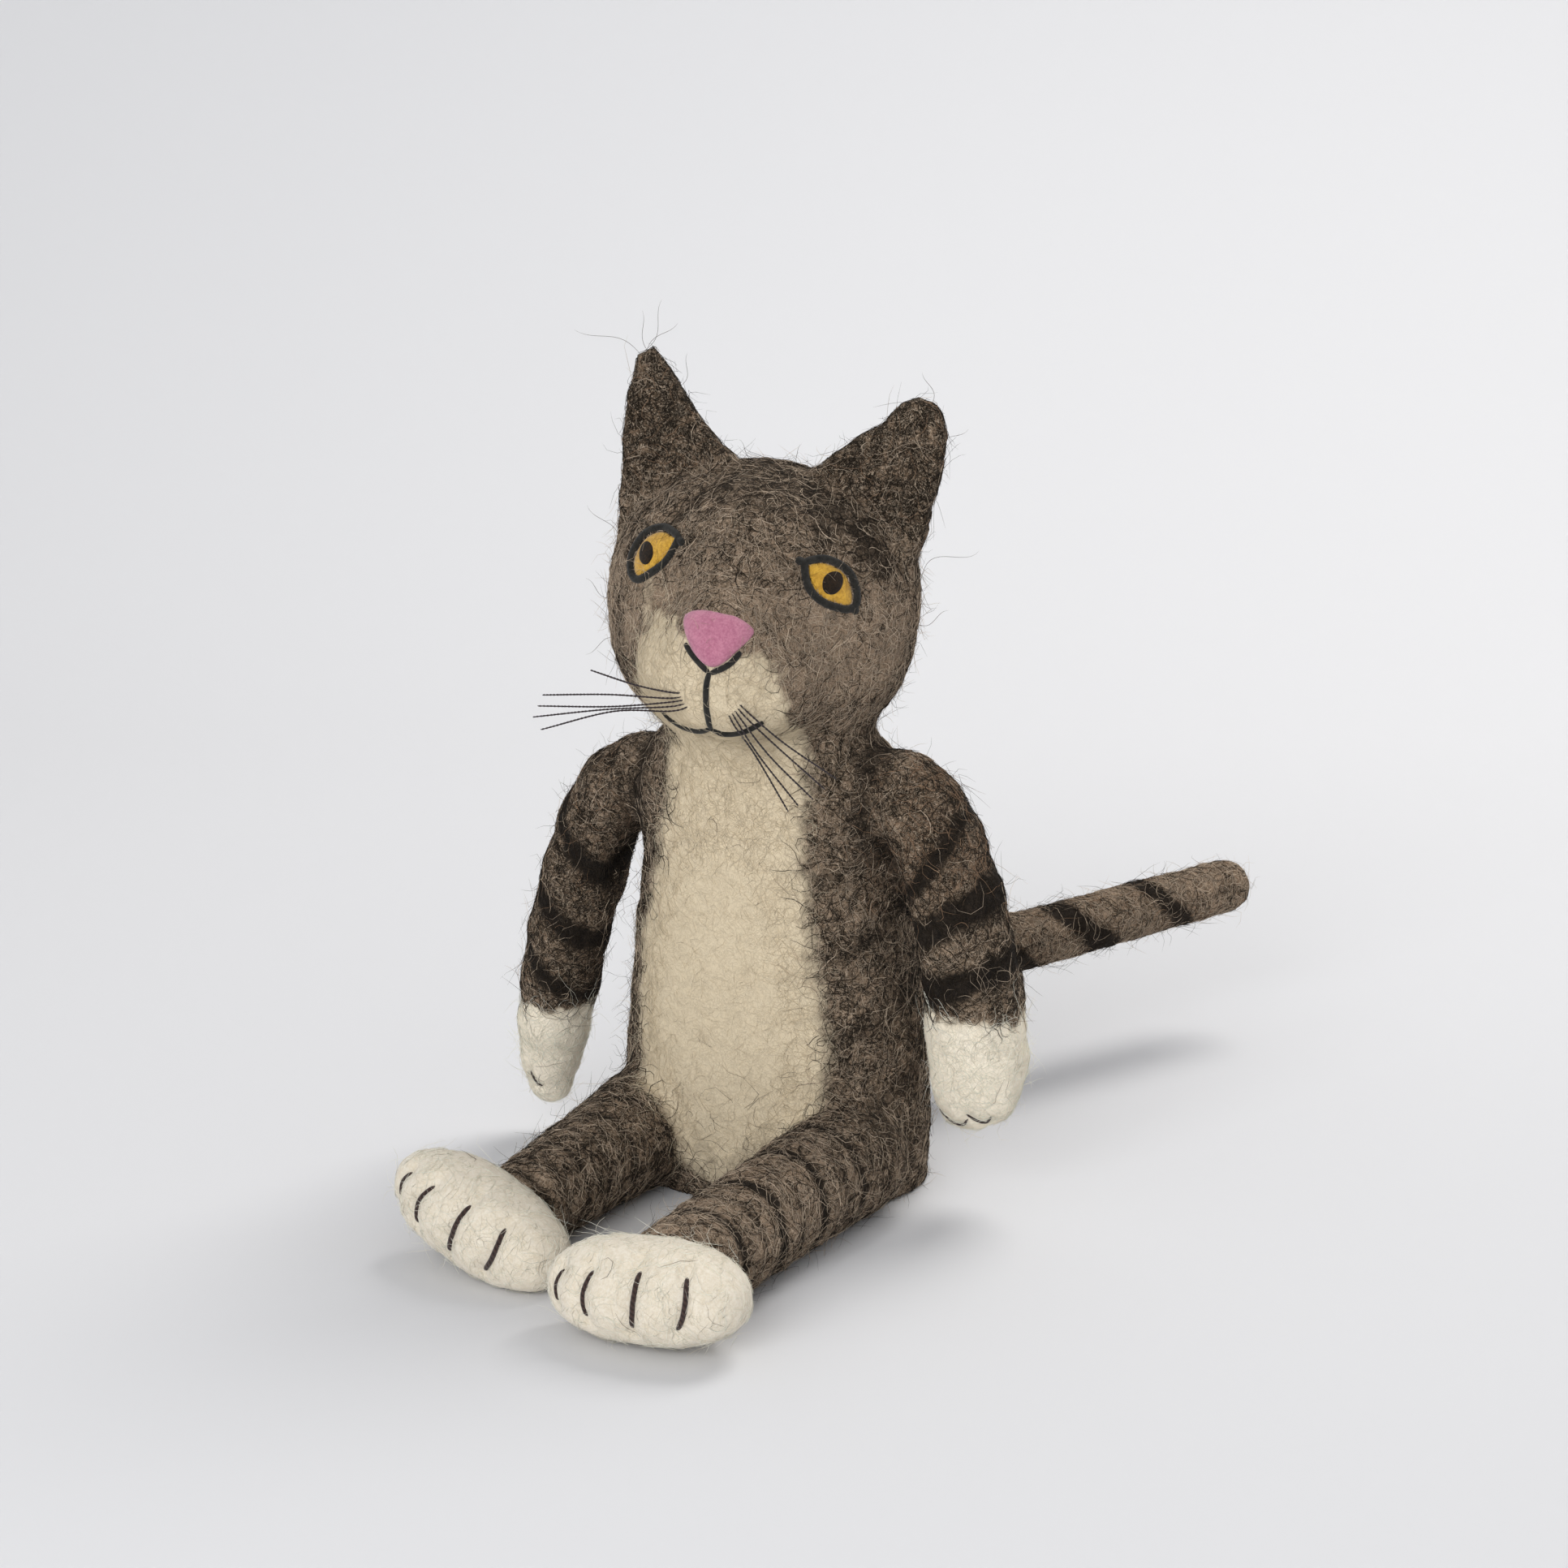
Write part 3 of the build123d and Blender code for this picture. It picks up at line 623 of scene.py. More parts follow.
def body_masks(p):
    x, y, z = p.T
    wander = 1.5 * noise(p, 5.0) + 0.9 * noise(p, 2.0, 2.2)
    stripe = np.zeros(len(p))
    for height in (33, 57, 80, 103):
        band = np.abs(z - height - 0.55 * (y + 10) + 3 * noise(p, 26.0, 1.1)) - 2.8
        stripe = np.maximum(stripe, 0.55 * soft(band + wander, 6.0) * soft(20 - np.abs(x), 12))
    spine = soft(np.abs(x) - 4 + wander, 5) * soft(-y + 10, 10)
    stripe = np.maximum(stripe, 0.75 * spine)
    shoulder = soft(np.abs(np.abs(x) - 35) - 3.0 + wander, 6) * soft(98 - z, 12) * soft(z - 139, 8)
    stripe = np.maximum(stripe, 0.75 * shoulder)
    cream = soft(belly_distance(p) + 0.9 * wander, 12.0)
    # painted shade: the wool's light share drops low at the front between the legs, where the legs shade the
    # body
    painted_crotch_shade = soft(np.hypot(x, z - 12) - 22, 16) * soft(y + 20, 10)
    tone = 0.40 - 0.14 * painted_crotch_shade + 0.10 * noise(p, 30.0, 6.6)
    warm = 0.6 * soft(35 - x, 14) * soft(85 - z, 16)
    return stripe * (1 - cream), cream, tone, warm


def leg_masks(p, side):
    wander = 0.7 * noise(p, 3.0) + 0.5 * noise(p, 1.4, 2.2)
    stripe = np.zeros(len(p))
    for y, half, strength in LEG_RINGS[side]:
        stripe = np.maximum(stripe, strength * soft(np.abs(ring_offset(p, side, y)) - half + wander, 2.2))
    base = {"left": 0.68, "right": 0.50}[side]
    thigh = soft(-52 - p[:, 1], 26)
    tone = base - 0.16 * thigh
    pale = 0.12 * np.sin((p[:, 1] + 2 * noise(p, 14.0)) * 1.15) * (1 - thigh)
    return stripe, np.zeros(len(p)), tone + pale, np.zeros(len(p))


def tail_masks(p):
    rel = p - TAIL_ROOT
    along = rel @ TAIL_ALONG
    lateral = rel[:, 2]
    wander = 1.2 * noise(p, 4.0) + 0.7 * noise(p, 1.7, 2.2)
    stripe = np.zeros(len(p))
    for place, half in TAIL_BANDS:
        band = np.abs(along - place + 1.1 * lateral + 2.0 * noise(p, 20.0, 4.4)) - half
        stripe = np.maximum(stripe, soft(band + wander, 3.0))
    root = soft(along - 14, 16)
    return stripe, np.zeros(len(p)), 0.68 - 0.12 * root, np.zeros(len(p)) + 0.10


def skin_masks(p):
    """Stripe, cream, lightness and warmth of the skin that body, head, legs and tail share."""
    body = np.array(body_masks(p))
    head_share = ramp((neck_height(p) - 5) / 14)
    total = body * (1 - head_share) + np.array(head_masks(p)) * head_share
    for side, sign in SIDES.items():
        share = ramp((LEG_CUT_Y + 6 - p[:, 1]) / 12) * (p[:, 2] < LEG_TOP) * (sign * p[:, 0] > 0)
        total = total * (1 - share) + np.array(leg_masks(p, side)) * share
    share = ramp(((p - TAIL_ROOT) @ TAIL_ALONG + 8) / 10) * (p[:, 1] > 30) * (p[:, 2] < 70)
    return total * (1 - share) + np.array(tail_masks(p)) * share


def arm_masks(p, side):
    x, y, z = p.T
    wander = 0.9 * noise(p, 3.4) + 0.7 * noise(p, 1.5, 2.2)
    line = np.array(ARMS[side])
    centre_x = np.interp(z, line[::-1, 2], line[::-1, 0])
    out = SIDES[side] * (x - centre_x) + 0.35 * (y - SHOULDERS[side][1])
    stripe = np.zeros(len(p))
    for height, half, lean in ARM_BANDS[side]:
        band = np.abs(z - height - lean * out + 1.6 * noise(p, 12.0, 8.8)) - half
        stripe = np.maximum(stripe, soft(band + wander, 3.0))
    cream = soft(z - CUFFS[side] + 2.2 * wander, 5.0)
    tone = {"left": 0.38, "right": 0.27}[side] + 0 * x
    warm = 0.9 * soft(90 - z, 14) * soft(44 - SIDES[side] * x, 10) if side == "left" else 0.25 + 0 * x
    warm = np.maximum(warm, cream * 1.2)
    stripe = np.maximum(stripe, 0.6 * soft(np.abs(x) - SHOULDER_X - 1 + wander, 6))
    return stripe, cream, tone, warm


def neck_height(p):
    return (p - NECK_CUT_POINT) @ NECK_CUT_NORMAL


# ---- materials ----------------------------------------------------------------------------------------
class Nodes:
    """Small helper for node trees."""

    def __init__(self, name):
        self.material = bpy.data.materials.new(name)
        self.material.use_nodes = True
        self.tree = self.material.node_tree
        self.shader = self.tree.nodes["Principled BSDF"]

    def add(self, kind, **values):
        node = self.tree.nodes.new(kind)
        for key, value in values.items():
            setattr(node, key, value)
        return node

    def link(self, source, target):
        self.tree.links.new(source, target)

    def put(self, socket, value):
        if isinstance(value, bpy.types.NodeSocket):
            self.link(value, socket)
        else:
            socket.default_value = value

    def attribute(self, name, output="Fac"):
        return self.add("ShaderNodeAttribute", attribute_name=name).outputs[output]

    def math(self, operation, a, b=0.0, clamp=False):
        node = self.add("ShaderNodeMath", operation=operation, use_clamp=clamp)
        self.put(node.inputs[0], a)
        self.put(node.inputs[1], b)
        return node.outputs[0]

    def noise(self, vector, scale, detail=2.0, distortion=0.0, w=0.0):
        node = self.add("ShaderNodeTexNoise", noise_dimensions="4D")
        self.link(vector, node.inputs["Vector"])
        for key, value in (("Scale", scale), ("Detail", detail), ("Distortion", distortion), ("W", w)):
            node.inputs[key].default_value = value
        return node.outputs[0]

    def range(self, value, low, high, to_low=0.0, to_high=1.0):
        node = self.add("ShaderNodeMapRange", interpolation_type="SMOOTHSTEP")
        self.put(node.inputs["Value"], value)
        for key, number in (("From Min", low), ("From Max", high), ("To Min", to_low), ("To Max", to_high)):
            node.inputs[key].default_value = number
        return node.outputs[0]

    def mix(self, factor, a, b):
        node = self.add("ShaderNodeMix", data_type="RGBA")
        self.put(node.inputs["Factor"], factor)
        self.put(node.inputs[6], a if isinstance(a, bpy.types.NodeSocket) else (*a, 1))
        self.put(node.inputs[7], b if isinstance(b, bpy.types.NodeSocket) else (*b, 1))
        return node.outputs[2]

    def curls(self, vector, scale, width, distortion, w):
        """Thin curly lines, as loose fibres lie on felt."""
        value = self.noise(vector, scale, 1.5, distortion, w)
        off = self.math("ABSOLUTE", self.math("SUBTRACT", value, 0.5))
        return self.range(off, 0.0, width, 1.0, 0.0)

    def finish(self, colour, height, strength, depth, sheen=0.35, gloss=0.18):
        bump = self.add("ShaderNodeBump")
        bump.inputs["Strength"].default_value = strength
        bump.inputs["Distance"].default_value = depth * MM
        self.link(height, bump.inputs["Height"])
        self.link(bump.outputs[0], self.shader.inputs["Normal"])
        self.put(self.shader.inputs["Base Color"], colour)
        self.shader.inputs["Roughness"].default_value = 0.92
        self.shader.inputs["Specular IOR Level"].default_value = gloss
        self.shader.inputs["Sheen Weight"].default_value = sheen
        self.shader.inputs["Sheen Roughness"].default_value = 0.6
        return self.material


DARK_WOOL = (0.017, 0.0122, 0.0078)
LIGHT_WOOL = (0.345, 0.248, 0.168)
PALE_FIBRE = (0.74, 0.59, 0.44)
STRIPE_WOOL = (0.009, 0.0075, 0.0065)
WARM_WOOL = (0.25, 0.16, 0.10)
CREAM = ((0.63, 0.515, 0.345), (0.80, 0.695, 0.515))
WHITE = ((0.87, 0.765, 0.59), (0.99, 0.93, 0.80))
FOOT_WHITE = ((0.72, 0.63, 0.48), (0.86, 0.79, 0.665))
PINK = ((0.40, 0.125, 0.205), (0.57, 0.23, 0.315))
BLACK = ((0.006, 0.006, 0.005), (0.028, 0.026, 0.022))
AMBER = ((0.42, 0.21, 0.016), (0.74, 0.43, 0.05))
PUPIL = ((0.004, 0.003, 0.002), (0.03, 0.016, 0.007))
BROWN_YARN = ((0.012, 0.007, 0.006), (0.075, 0.04, 0.032))
WAXED_THREAD = ((0.006, 0.004, 0.005), (0.05, 0.03, 0.032))
DARK_HAIR = (0.10, 0.075, 0.05)
FIBRE_SHADE = (0.05, 0.04, 0.03)


def tabby_material():
    n = Nodes("tabby_wool")
    co = n.attribute("wool_co", "Vector")
    stripe, cream, tone, warm = (n.attribute(k) for k in ("stripe", "cream", "tone", "warm"))
    mottle = n.noise(co, 0.055, 2.0)
    clump = n.noise(co, 0.33, 3.0, 1.2)
    fine = n.noise(co, 1.5, 3.0, 0.6)
    pale = n.curls(co, 0.24, 0.020, 2.6, 1.3)
    pale_2 = n.curls(co, 0.42, 0.022, 3.0, 4.1)
    dark = n.curls(co, 0.34, 0.022, 2.4, 7.7)
    share = n.math("ADD", tone, n.math("MULTIPLY", n.math("SUBTRACT", mottle, 0.5), 0.75))
    share = n.math("ADD", share, n.math("MULTIPLY", n.math("SUBTRACT", clump, 0.5), 2.6))
    share = n.math("ADD", share, n.math("MULTIPLY", n.math("SUBTRACT", fine, 0.5), 2.2), True)
    calm = n.math("SUBTRACT", 1.0, n.math("MULTIPLY", stripe, 0.93))
    share = n.math("MULTIPLY", share, n.math("MULTIPLY", calm, 0.80))
    light = n.mix(n.math("MULTIPLY", warm, 0.55), LIGHT_WOOL, WARM_WOOL)
    base = n.mix(share, n.mix(stripe, DARK_WOOL, STRIPE_WOOL), light)
    lines = n.math("MULTIPLY", n.math("MAXIMUM", pale, pale_2), n.math("MULTIPLY", calm, 0.55))
    base = n.mix(lines, base, PALE_FIBRE)
    base = n.mix(n.math("MULTIPLY", dark, 0.5), base, DARK_WOOL)
    shade = n.math("ADD", n.math("MULTIPLY", clump, 0.5), n.math("MULTIPLY", fine, 0.5))
    cream_colour = n.mix(shade, *CREAM)
    hair = n.math("MULTIPLY", n.curls(co, 0.11, 0.0030, 3.6, 9.3), 0.12)
    cream_colour = n.mix(hair, cream_colour, DARK_HAIR)
    cream_colour = n.mix(n.math("MULTIPLY", warm, 0.8), cream_colour, n.mix(shade, *WHITE))
    edge = n.math("ADD", cream, n.math("MULTIPLY", n.math("SUBTRACT", clump, 0.5), 0.55))
    colour = n.mix(n.range(edge, 0.14, 0.86), base, cream_colour)
    height = n.math("ADD", n.math("MULTIPLY", fine, 0.6), n.math("MULTIPLY", clump, 0.5))
    height = n.math("ADD", height, n.math("MULTIPLY", n.math("MAXIMUM", pale, dark), 0.35))
    return n.finish(colour, height, 0.6, 0.6, 0.02, 0.06)


def plain_wool(name, pair, sheen=0.3):
    """Felt of one colour, in two shades of fibre."""
    n = Nodes(name)
    co = n.attribute("wool_co", "Vector")
    clump = n.noise(co, 0.4, 3.0, 1.2)
    fine = n.noise(co, 1.7, 3.0, 0.6)
    share = n.math("ADD", n.math("MULTIPLY", clump, 0.6), n.math("MULTIPLY", fine, 0.7))
    colour = n.mix(n.range(share, 0.4, 0.9), *pair)
    line = n.curls(co, 0.5, 0.02, 2.6, 3.3)
    colour = n.mix(n.math("MULTIPLY", line, 0.35), colour, pair[1])
    raised = n.math("MULTIPLY", n.math("MAXIMUM", line, clump), 0.4)
    height = n.math("ADD", n.math("MULTIPLY", fine, 0.6), raised)
    return n.finish(colour, height, 0.5, 0.45, sheen)


def fibre_material():
    n = Nodes("loose_fibre")
    tint = n.attribute("tint", "Color")
    fine = n.noise(n.attribute("wool_co", "Vector"), 0.6, 2.0)
    colour = n.mix(n.math("MULTIPLY", fine, 0.35), tint, n.mix(0.5, tint, FIBRE_SHADE))
    n.put(n.shader.inputs["Base Color"], colour)
    n.shader.inputs["Roughness"].default_value = 0.7
    n.shader.inputs["Specular IOR Level"].default_value = 0.07
    n.shader.inputs["Sheen Weight"].default_value = 0.03
    return n.material


def yarn_material(name, pair, twist):
    """Twisted thread: stripes of light and dark ply round the strand."""
    n = Nodes(name)
    co = n.attribute("wool_co", "Vector")
    fine = n.noise(co, 2.6, 3.0, 0.8)
    ply = n.math("SINE", n.math("MULTIPLY", n.attribute("turn"), twist))
    share = n.math("ADD", n.math("MULTIPLY", ply, 0.28), n.math("MULTIPLY", fine, 0.9), True)
    return n.finish(n.mix(share, *pair), n.math("ADD", ply, fine), 0.5, 0.12, 0.2)


MATERIALS = {
    "tabby": tabby_material(),
    "white": plain_wool("white_wool", FOOT_WHITE),
    "pink": plain_wool("pink_wool", PINK),
    "black": plain_wool("black_wool", BLACK, sheen=0.12),
    "amber": plain_wool("amber_wool", AMBER),
    "pupil": plain_wool("pupil_wool", PUPIL, sheen=0.1),
    "yarn": yarn_material("brown_yarn", BROWN_YARN, 2.0),
    "thread": yarn_material("waxed_thread", WAXED_THREAD, 2.0),
    "fibre": fibre_material()}


# ---- building pieces ----------------------------------------------------------------------------------
def make_piece(name, vertices, faces, material, normals=None, values=None, rest=None):
    """A mesh object from millimetre vertices; faces all have the same number of corners, or are a list."""
    mesh = bpy.data.meshes.new(name)
    if isinstance(faces, np.ndarray):
        corners = faces.shape[1]
        mesh.vertices.add(len(vertices))
        mesh.vertices.foreach_set("co", (vertices * MM).astype(np.float32).ravel())
        mesh.loops.add(faces.size)
        mesh.loops.foreach_set("vertex_index", faces.astype(np.int32).ravel())
        mesh.polygons.add(len(faces))
        mesh.polygons.foreach_set("loop_start", np.arange(0, faces.size, corners, dtype=np.int32))
    else:
        mesh.from_pydata((vertices * MM).tolist(), [], faces)
    mesh.update(calc_edges=True)
    mesh.polygons.foreach_set("use_smooth", np.ones(len(mesh.polygons), bool))
    for key, value in (values or {}).items():
        kind = "FLOAT_COLOR" if value.ndim == 2 else "FLOAT"
        attribute = mesh.attributes.new(key, kind, "POINT")
        attribute.data.foreach_set("color" if value.ndim == 2 else "value", value.astype(np.float32).ravel())
    attribute = mesh.attributes.new("wool_co", "FLOAT_VECTOR", "POINT")
    at = vertices if rest is None else rest
    attribute.data.foreach_set("vector", at.astype(np.float32).ravel())
    if normals is not None:
        mesh.normals_split_custom_set_from_vertices(normals.tolist())
    mesh.materials.append(MATERIALS[material])
    piece = bpy.data.objects.new(name, mesh)
    bpy.context.scene.collection.objects.link(piece)
    return piece


def mask_values(masks):
    return dict(zip(("stripe", "cream", "tone", "warm"), masks))


class Blend:
    """Two bodies and a span from start to end in millimetres where the skin passes from one to the other;
    attach only fixes the piece where it lies, without bending it.
    """

    def __init__(self, a, b, start, end):
        self.a, self.b = a, b
        self.start, self.end = np.asarray(start, float), np.asarray(end, float)

    def attach(self, piece):
        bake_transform(piece)


class Ride:
    """Fixed to one body."""

    def __init__(self, body):
        self.body = body

    def attach(self, piece):
        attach(piece, self.body)


def settle_piece(piece, hold, nodes=()):
    hold.attach(piece)
    if nodes:
        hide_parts(*nodes)
    return piece


def bisect(mesh, point, normal, chosen):
    """Cuts the chosen faces of a bmesh along a plane."""
    faces = [f for f, keep in zip(mesh.faces, chosen) if keep]
    geometry = list({v for f in faces for v in f.verts} | {e for f in faces for e in f.edges}) + faces
    bmesh.ops.bisect_plane(mesh, geom=geometry, dist=1e-4, plane_co=Vector(point), plane_no=Vector(normal))


def face_centres(mesh):
    return np.array([f.calc_center_median() for f in mesh.faces]).reshape(-1, 3)


def build_split(vertices, quads, cuts, label):
    """Cuts a mesh along planes, then gives one closed mesh for each label."""
    source = bpy.data.meshes.new("source")
    source.from_pydata(vertices.tolist(), [], quads.tolist())
    mesh = bmesh.new()
    mesh.from_mesh(source)
    bpy.data.meshes.remove(source)
    for point, normal, region in cuts:
        bisect(mesh, point, normal, region(face_centres(mesh)))
    labels = label(face_centres(mesh))
    parts = {}
    for name in sorted(set(labels)):
        part = mesh.copy()
        wrong = [f for f, is_name in zip(part.faces, labels) if is_name != name]
        bmesh.ops.delete(part, geom=wrong, context="FACES")
        rim = [e for e in part.edges if e.is_boundary]
        bmesh.ops.holes_fill(part, edges=rim, sides=0)
        part.verts.index_update()
        found = np.array([v.co for v in part.verts]).reshape(-1, 3)
        parts[name] = (found, [[v.index for v in f.verts] for f in part.faces])
        part.free()
    mesh.free()
    return parts


def tube(points, radius, sides=8, closed=False, taper=0.0):
    """Vertices, quads and turn values of a round strand along points."""
    points = np.asarray(points, float)
    count = len(points)
    steps = np.roll(points, -1, 0) - np.roll(points, 1, 0) if closed else np.gradient(points, axis=0)
    ahead = unit(steps)
    side = unit(np.cross(ahead[0], (0.31, 0.52, 0.79)))
    frames = []
    for along in ahead:
        side = unit(side - along * (side @ along))
        frames.append((side, np.cross(along, side)))
    share = np.linspace(-1, 1, count)
    widths = np.full(count, radius) if closed else radius * (1 - taper * np.abs(share) ** 6)
    angles = np.linspace(0, 2 * math.pi, sides, endpoint=False)
    rings = [p + w * (np.cos(angles)[:, None] * u + np.sin(angles)[:, None] * v)
             for p, w, (u, v) in zip(points, widths, frames)]
    vertices = np.concatenate(rings)
    length = np.concatenate([[0], np.cumsum(np.linalg.norm(np.diff(points, axis=0), axis=1))])
    turn = (length[:, None] * 2.2 + angles[None]).ravel()
    last = count if closed else count - 1
    faces = [[i * sides + j, i * sides + (j + 1) % sides, (i + 1) % count * sides + (j + 1) % sides,
              (i + 1) % count * sides + j] for i in range(last) for j in range(sides)]
    if not closed:
        faces.append(list(range(sides))[::-1])
        faces.append([(count - 1) * sides + j for j in range(sides)])
    return vertices, faces, turn


def build_strands(name, strands, material, hold, nodes):
    """One piece of several strands of yarn or thread."""
    vertices, faces, turn = merged(strands)
    piece = make_piece(name, vertices, faces, material, values={"turn": turn})
    settle_piece(piece, hold, nodes)


def merged(parts):
    """Joins (vertices, faces, turn) triples."""
    vertices, faces, turns, offset = [], [], [], 0
    for v, f, t in parts:
        vertices.append(v)
        faces += [[i + offset for i in face] for face in f]
        turns.append(t)
        offset += len(v)
    return np.concatenate(vertices), faces, np.concatenate(turns)


def patch(field, outline, middle, direction, lift, rings=12, crown=3.0, sink=0.25, depth=1.2):
    """A closed pad on a surface: its edge sinks in, and its middle stands up by lift."""
    count = len(outline)
    shares = np.sin(np.linspace(0, math.pi / 2, rings + 1))[1:]
    flat = np.concatenate([[middle]] + [middle + s * (outline - middle) for s in shares])
    on_skin = cast(field, flat, direction)
    normals = unit(slope(field, on_skin))
    share = np.concatenate([[0.0], np.repeat(shares, count)])
    height = (lift + sink) * np.sqrt(np.clip(1 - share ** crown, 0, 1)) - sink
    top = on_skin + normals * height[:, None]
    rim = on_skin[-count:] - normals[-count:] * depth
    bottom = on_skin[:1] - normals[:1] * (depth + 1.0)
    vertices = np.concatenate([top, rim, bottom])
    faces = [[0, 1 + j, 1 + (j + 1) % count] for j in range(count)]
    for ring in range(rings):
        a, b = 1 + ring * count, 1 + (ring + 1) * count
        faces += [[a + j, b + j, b + (j + 1) % count, a + (j + 1) % count] for j in range(count)]
    last = len(vertices) - 1
    faces += [[last, last - count + (j + 1) % count, last - count + j] for j in range(count)]
    return vertices, faces


# ---- the skins ----------------------------------------------------------------------------------------
def skin_region(name):
    def legs(c):
        return (c[:, 1] < LEG_CUT_Y + 20) & (c[:, 1] > LEG_CUT_Y - 20) & (c[:, 2] < LEG_TOP)

    def tail(c):
        rel = c - TAIL_ROOT
        along = rel @ TAIL_ALONG
        off = np.linalg.norm(rel - along[:, None] * TAIL_ALONG, axis=1)
        return (off < 16) & (c[:, 1] > 30)

    def neck(c):
        return c[:, 2] > NECK_ABOVE

    return {"legs": legs, "tail": tail, "neck": neck}[name]


def ear_plane(side):
    (x0, z0), (x1, z1) = EAR_CUT[side]
    normal = np.array([SIDES[side] * (z0 - z1), 0, abs(x1 - x0)])
    normal = normal / np.linalg.norm(normal)
    return from_head(np.array([x0, 0, z0]) + normal * EAR_CUT_RISE), HEAD_AXES @ normal


def ear_region(side):
    def region(c):
        return (SIDES[side] * to_head(c)[:, 0] > 6) & (c[:, 2] > EARS_ABOVE)
    return region


def skin_label(c):
    labels = np.full(len(c), "torso_wool", dtype=object)
    height = neck_height(c)
    above = c[:, 2] > NECK_ABOVE
    labels[above & (height > NECK_START)] = "neck_wool"
    labels[above & (height > NECK_END)] = "head_wool"
    q = to_head(c)
    for side, sign in SIDES.items():
        labels[(c[:, 2] > EARS_ABOVE) & (ear_height(q, side) > 0)] = f"ear_{side}_wool"
        labels[(c[:, 1] < LEG_CUT_Y) & (c[:, 2] < LEG_TOP) & (sign * c[:, 0] > 0)] = f"leg_{side}_wool"
    rel = c - TAIL_ROOT
    labels[skin_region("tail")(c) & (rel @ TAIL_ALONG > TAIL_BEND[0])] = "tail_wool"
    labels[(rel @ TAIL_ALONG > 20) & (c[:, 1] > 60)] = "tail_wool"
    return labels


def neck_at(distance):
    return NECK_CUT_POINT + NECK_CUT_NORMAL * distance


HOLDS = {"torso_wool": Ride("torso"),
         "neck_wool": Blend("torso", "neck", neck_at(NECK_START), neck_at(NECK_END)),
         "head_wool": Blend("neck", "head", neck_at(NECK_END), neck_at(HEAD_END)),
         "tail_wool": Blend("torso", "tail", TAIL_ROOT + TAIL_ALONG * TAIL_BEND[0],
                            TAIL_ROOT + TAIL_ALONG * TAIL_BEND[1])}
STANDS_FOR = {"torso_wool": ["torso_shell"], "neck_wool": ["neck_ring"],
              "head_wool": ["head_shell", "head_stuffing", "muzzle_pad"],
              "tail_wool": ["tail_cover", "tail_core"]}
for limb_side, limb_sign in SIDES.items():
    HOLDS[f"ear_{limb_side}_wool"] = Ride("head")
    STANDS_FOR[f"ear_{limb_side}_wool"] = [f"ear_{limb_side}"]
    leg_name = f"leg_{limb_side}_wool"
    HOLDS[leg_name] = Blend("torso", f"leg_{limb_side}", (limb_sign * HIP_X, LEG_CUT_Y, HIP_Z),
                            (limb_sign * HIP_X, LEG_BEND_END_Y, HIP_Z))
    STANDS_FOR[leg_name] = [f"leg_cover_{limb_side}", f"leg_stuffing_{limb_side}"]


def in_shoulder_band(c):
    return (c[:, 2] > SHOULDER_BAND[0]) & (c[:, 2] < SHOULDER_BAND[1])


def label_or_off(c):
    """The skin's labels, with "off" where the arms take its place."""
    is_off = (np.abs(c[:, 0]) > SHOULDER_X) & in_shoulder_band(c) & (c[:, 1] > -20)
    return np.where(is_off, "off", skin_label(c))


def build_skin():
    low = np.array([-62.0, -160.0, -4.0])
    high = np.array([92.0, 196.0, 254.0])
    vertices, quads = mesh_of(skin_field, low, high)
    cuts = [((0, LEG_CUT_Y, 0), (0, 1, 0), skin_region("legs")),
            (TAIL_ROOT + TAIL_ALONG * TAIL_BEND[0], TAIL_ALONG, skin_region("tail")),
            (neck_at(NECK_START), NECK_CUT_NORMAL, skin_region("neck")),
            (neck_at(NECK_END), NECK_CUT_NORMAL, skin_region("neck"))]
    cuts += [(*ear_plane(side), ear_region(side)) for side in SIDES]
    cuts += [((sign * SHOULDER_X, 0, 0), (1, 0, 0), in_shoulder_band) for sign in (1, -1)]
    parts = build_split(vertices, quads, cuts, label_or_off)
    pieces = {}
    for name, (found, faces) in parts.items():
        if name == "off":
            continue
        normals = unit(slope(skin_field, found, 0.5))
        piece = make_piece(name, found, faces, "tabby", normals, mask_values(skin_masks(found)))
        pieces[name] = settle_piece(piece, HOLDS[name], STANDS_FOR[name])
        add_fibres(name, found, faces, skin_field, skin_masks, HOLDS[name])
    return pieces


# ---- loose fibres -------------------------------------------------------------------------------------
FIBRE_DENSITY = 0.42  # fibres per square millimetre
FIBRE_STEPS = 5
FLOOR_GAP = 0.25  # no fibre goes lower
STRAY_SHARE = 0.18
MOST_FIBRES = 5800  # fibres in one piece


def fibre_roots(vertices, faces, density):
    """Random places on the outside of a mesh."""
    corners = np.array([f[:3] for f in faces if len(f) < 12])
    a, b, c = (vertices[corners[:, i]] for i in range(3))
    area = np.linalg.norm(np.cross(b - a, c - a), axis=1)
    count = int(area.sum() * density)
    chosen = rng.choice(len(corners), count, p=area / area.sum())
    u, v = rng.random((2, count, 1))
    return a[chosen] + u * (b[chosen] - a[chosen]) + v * (c[chosen] - a[chosen])


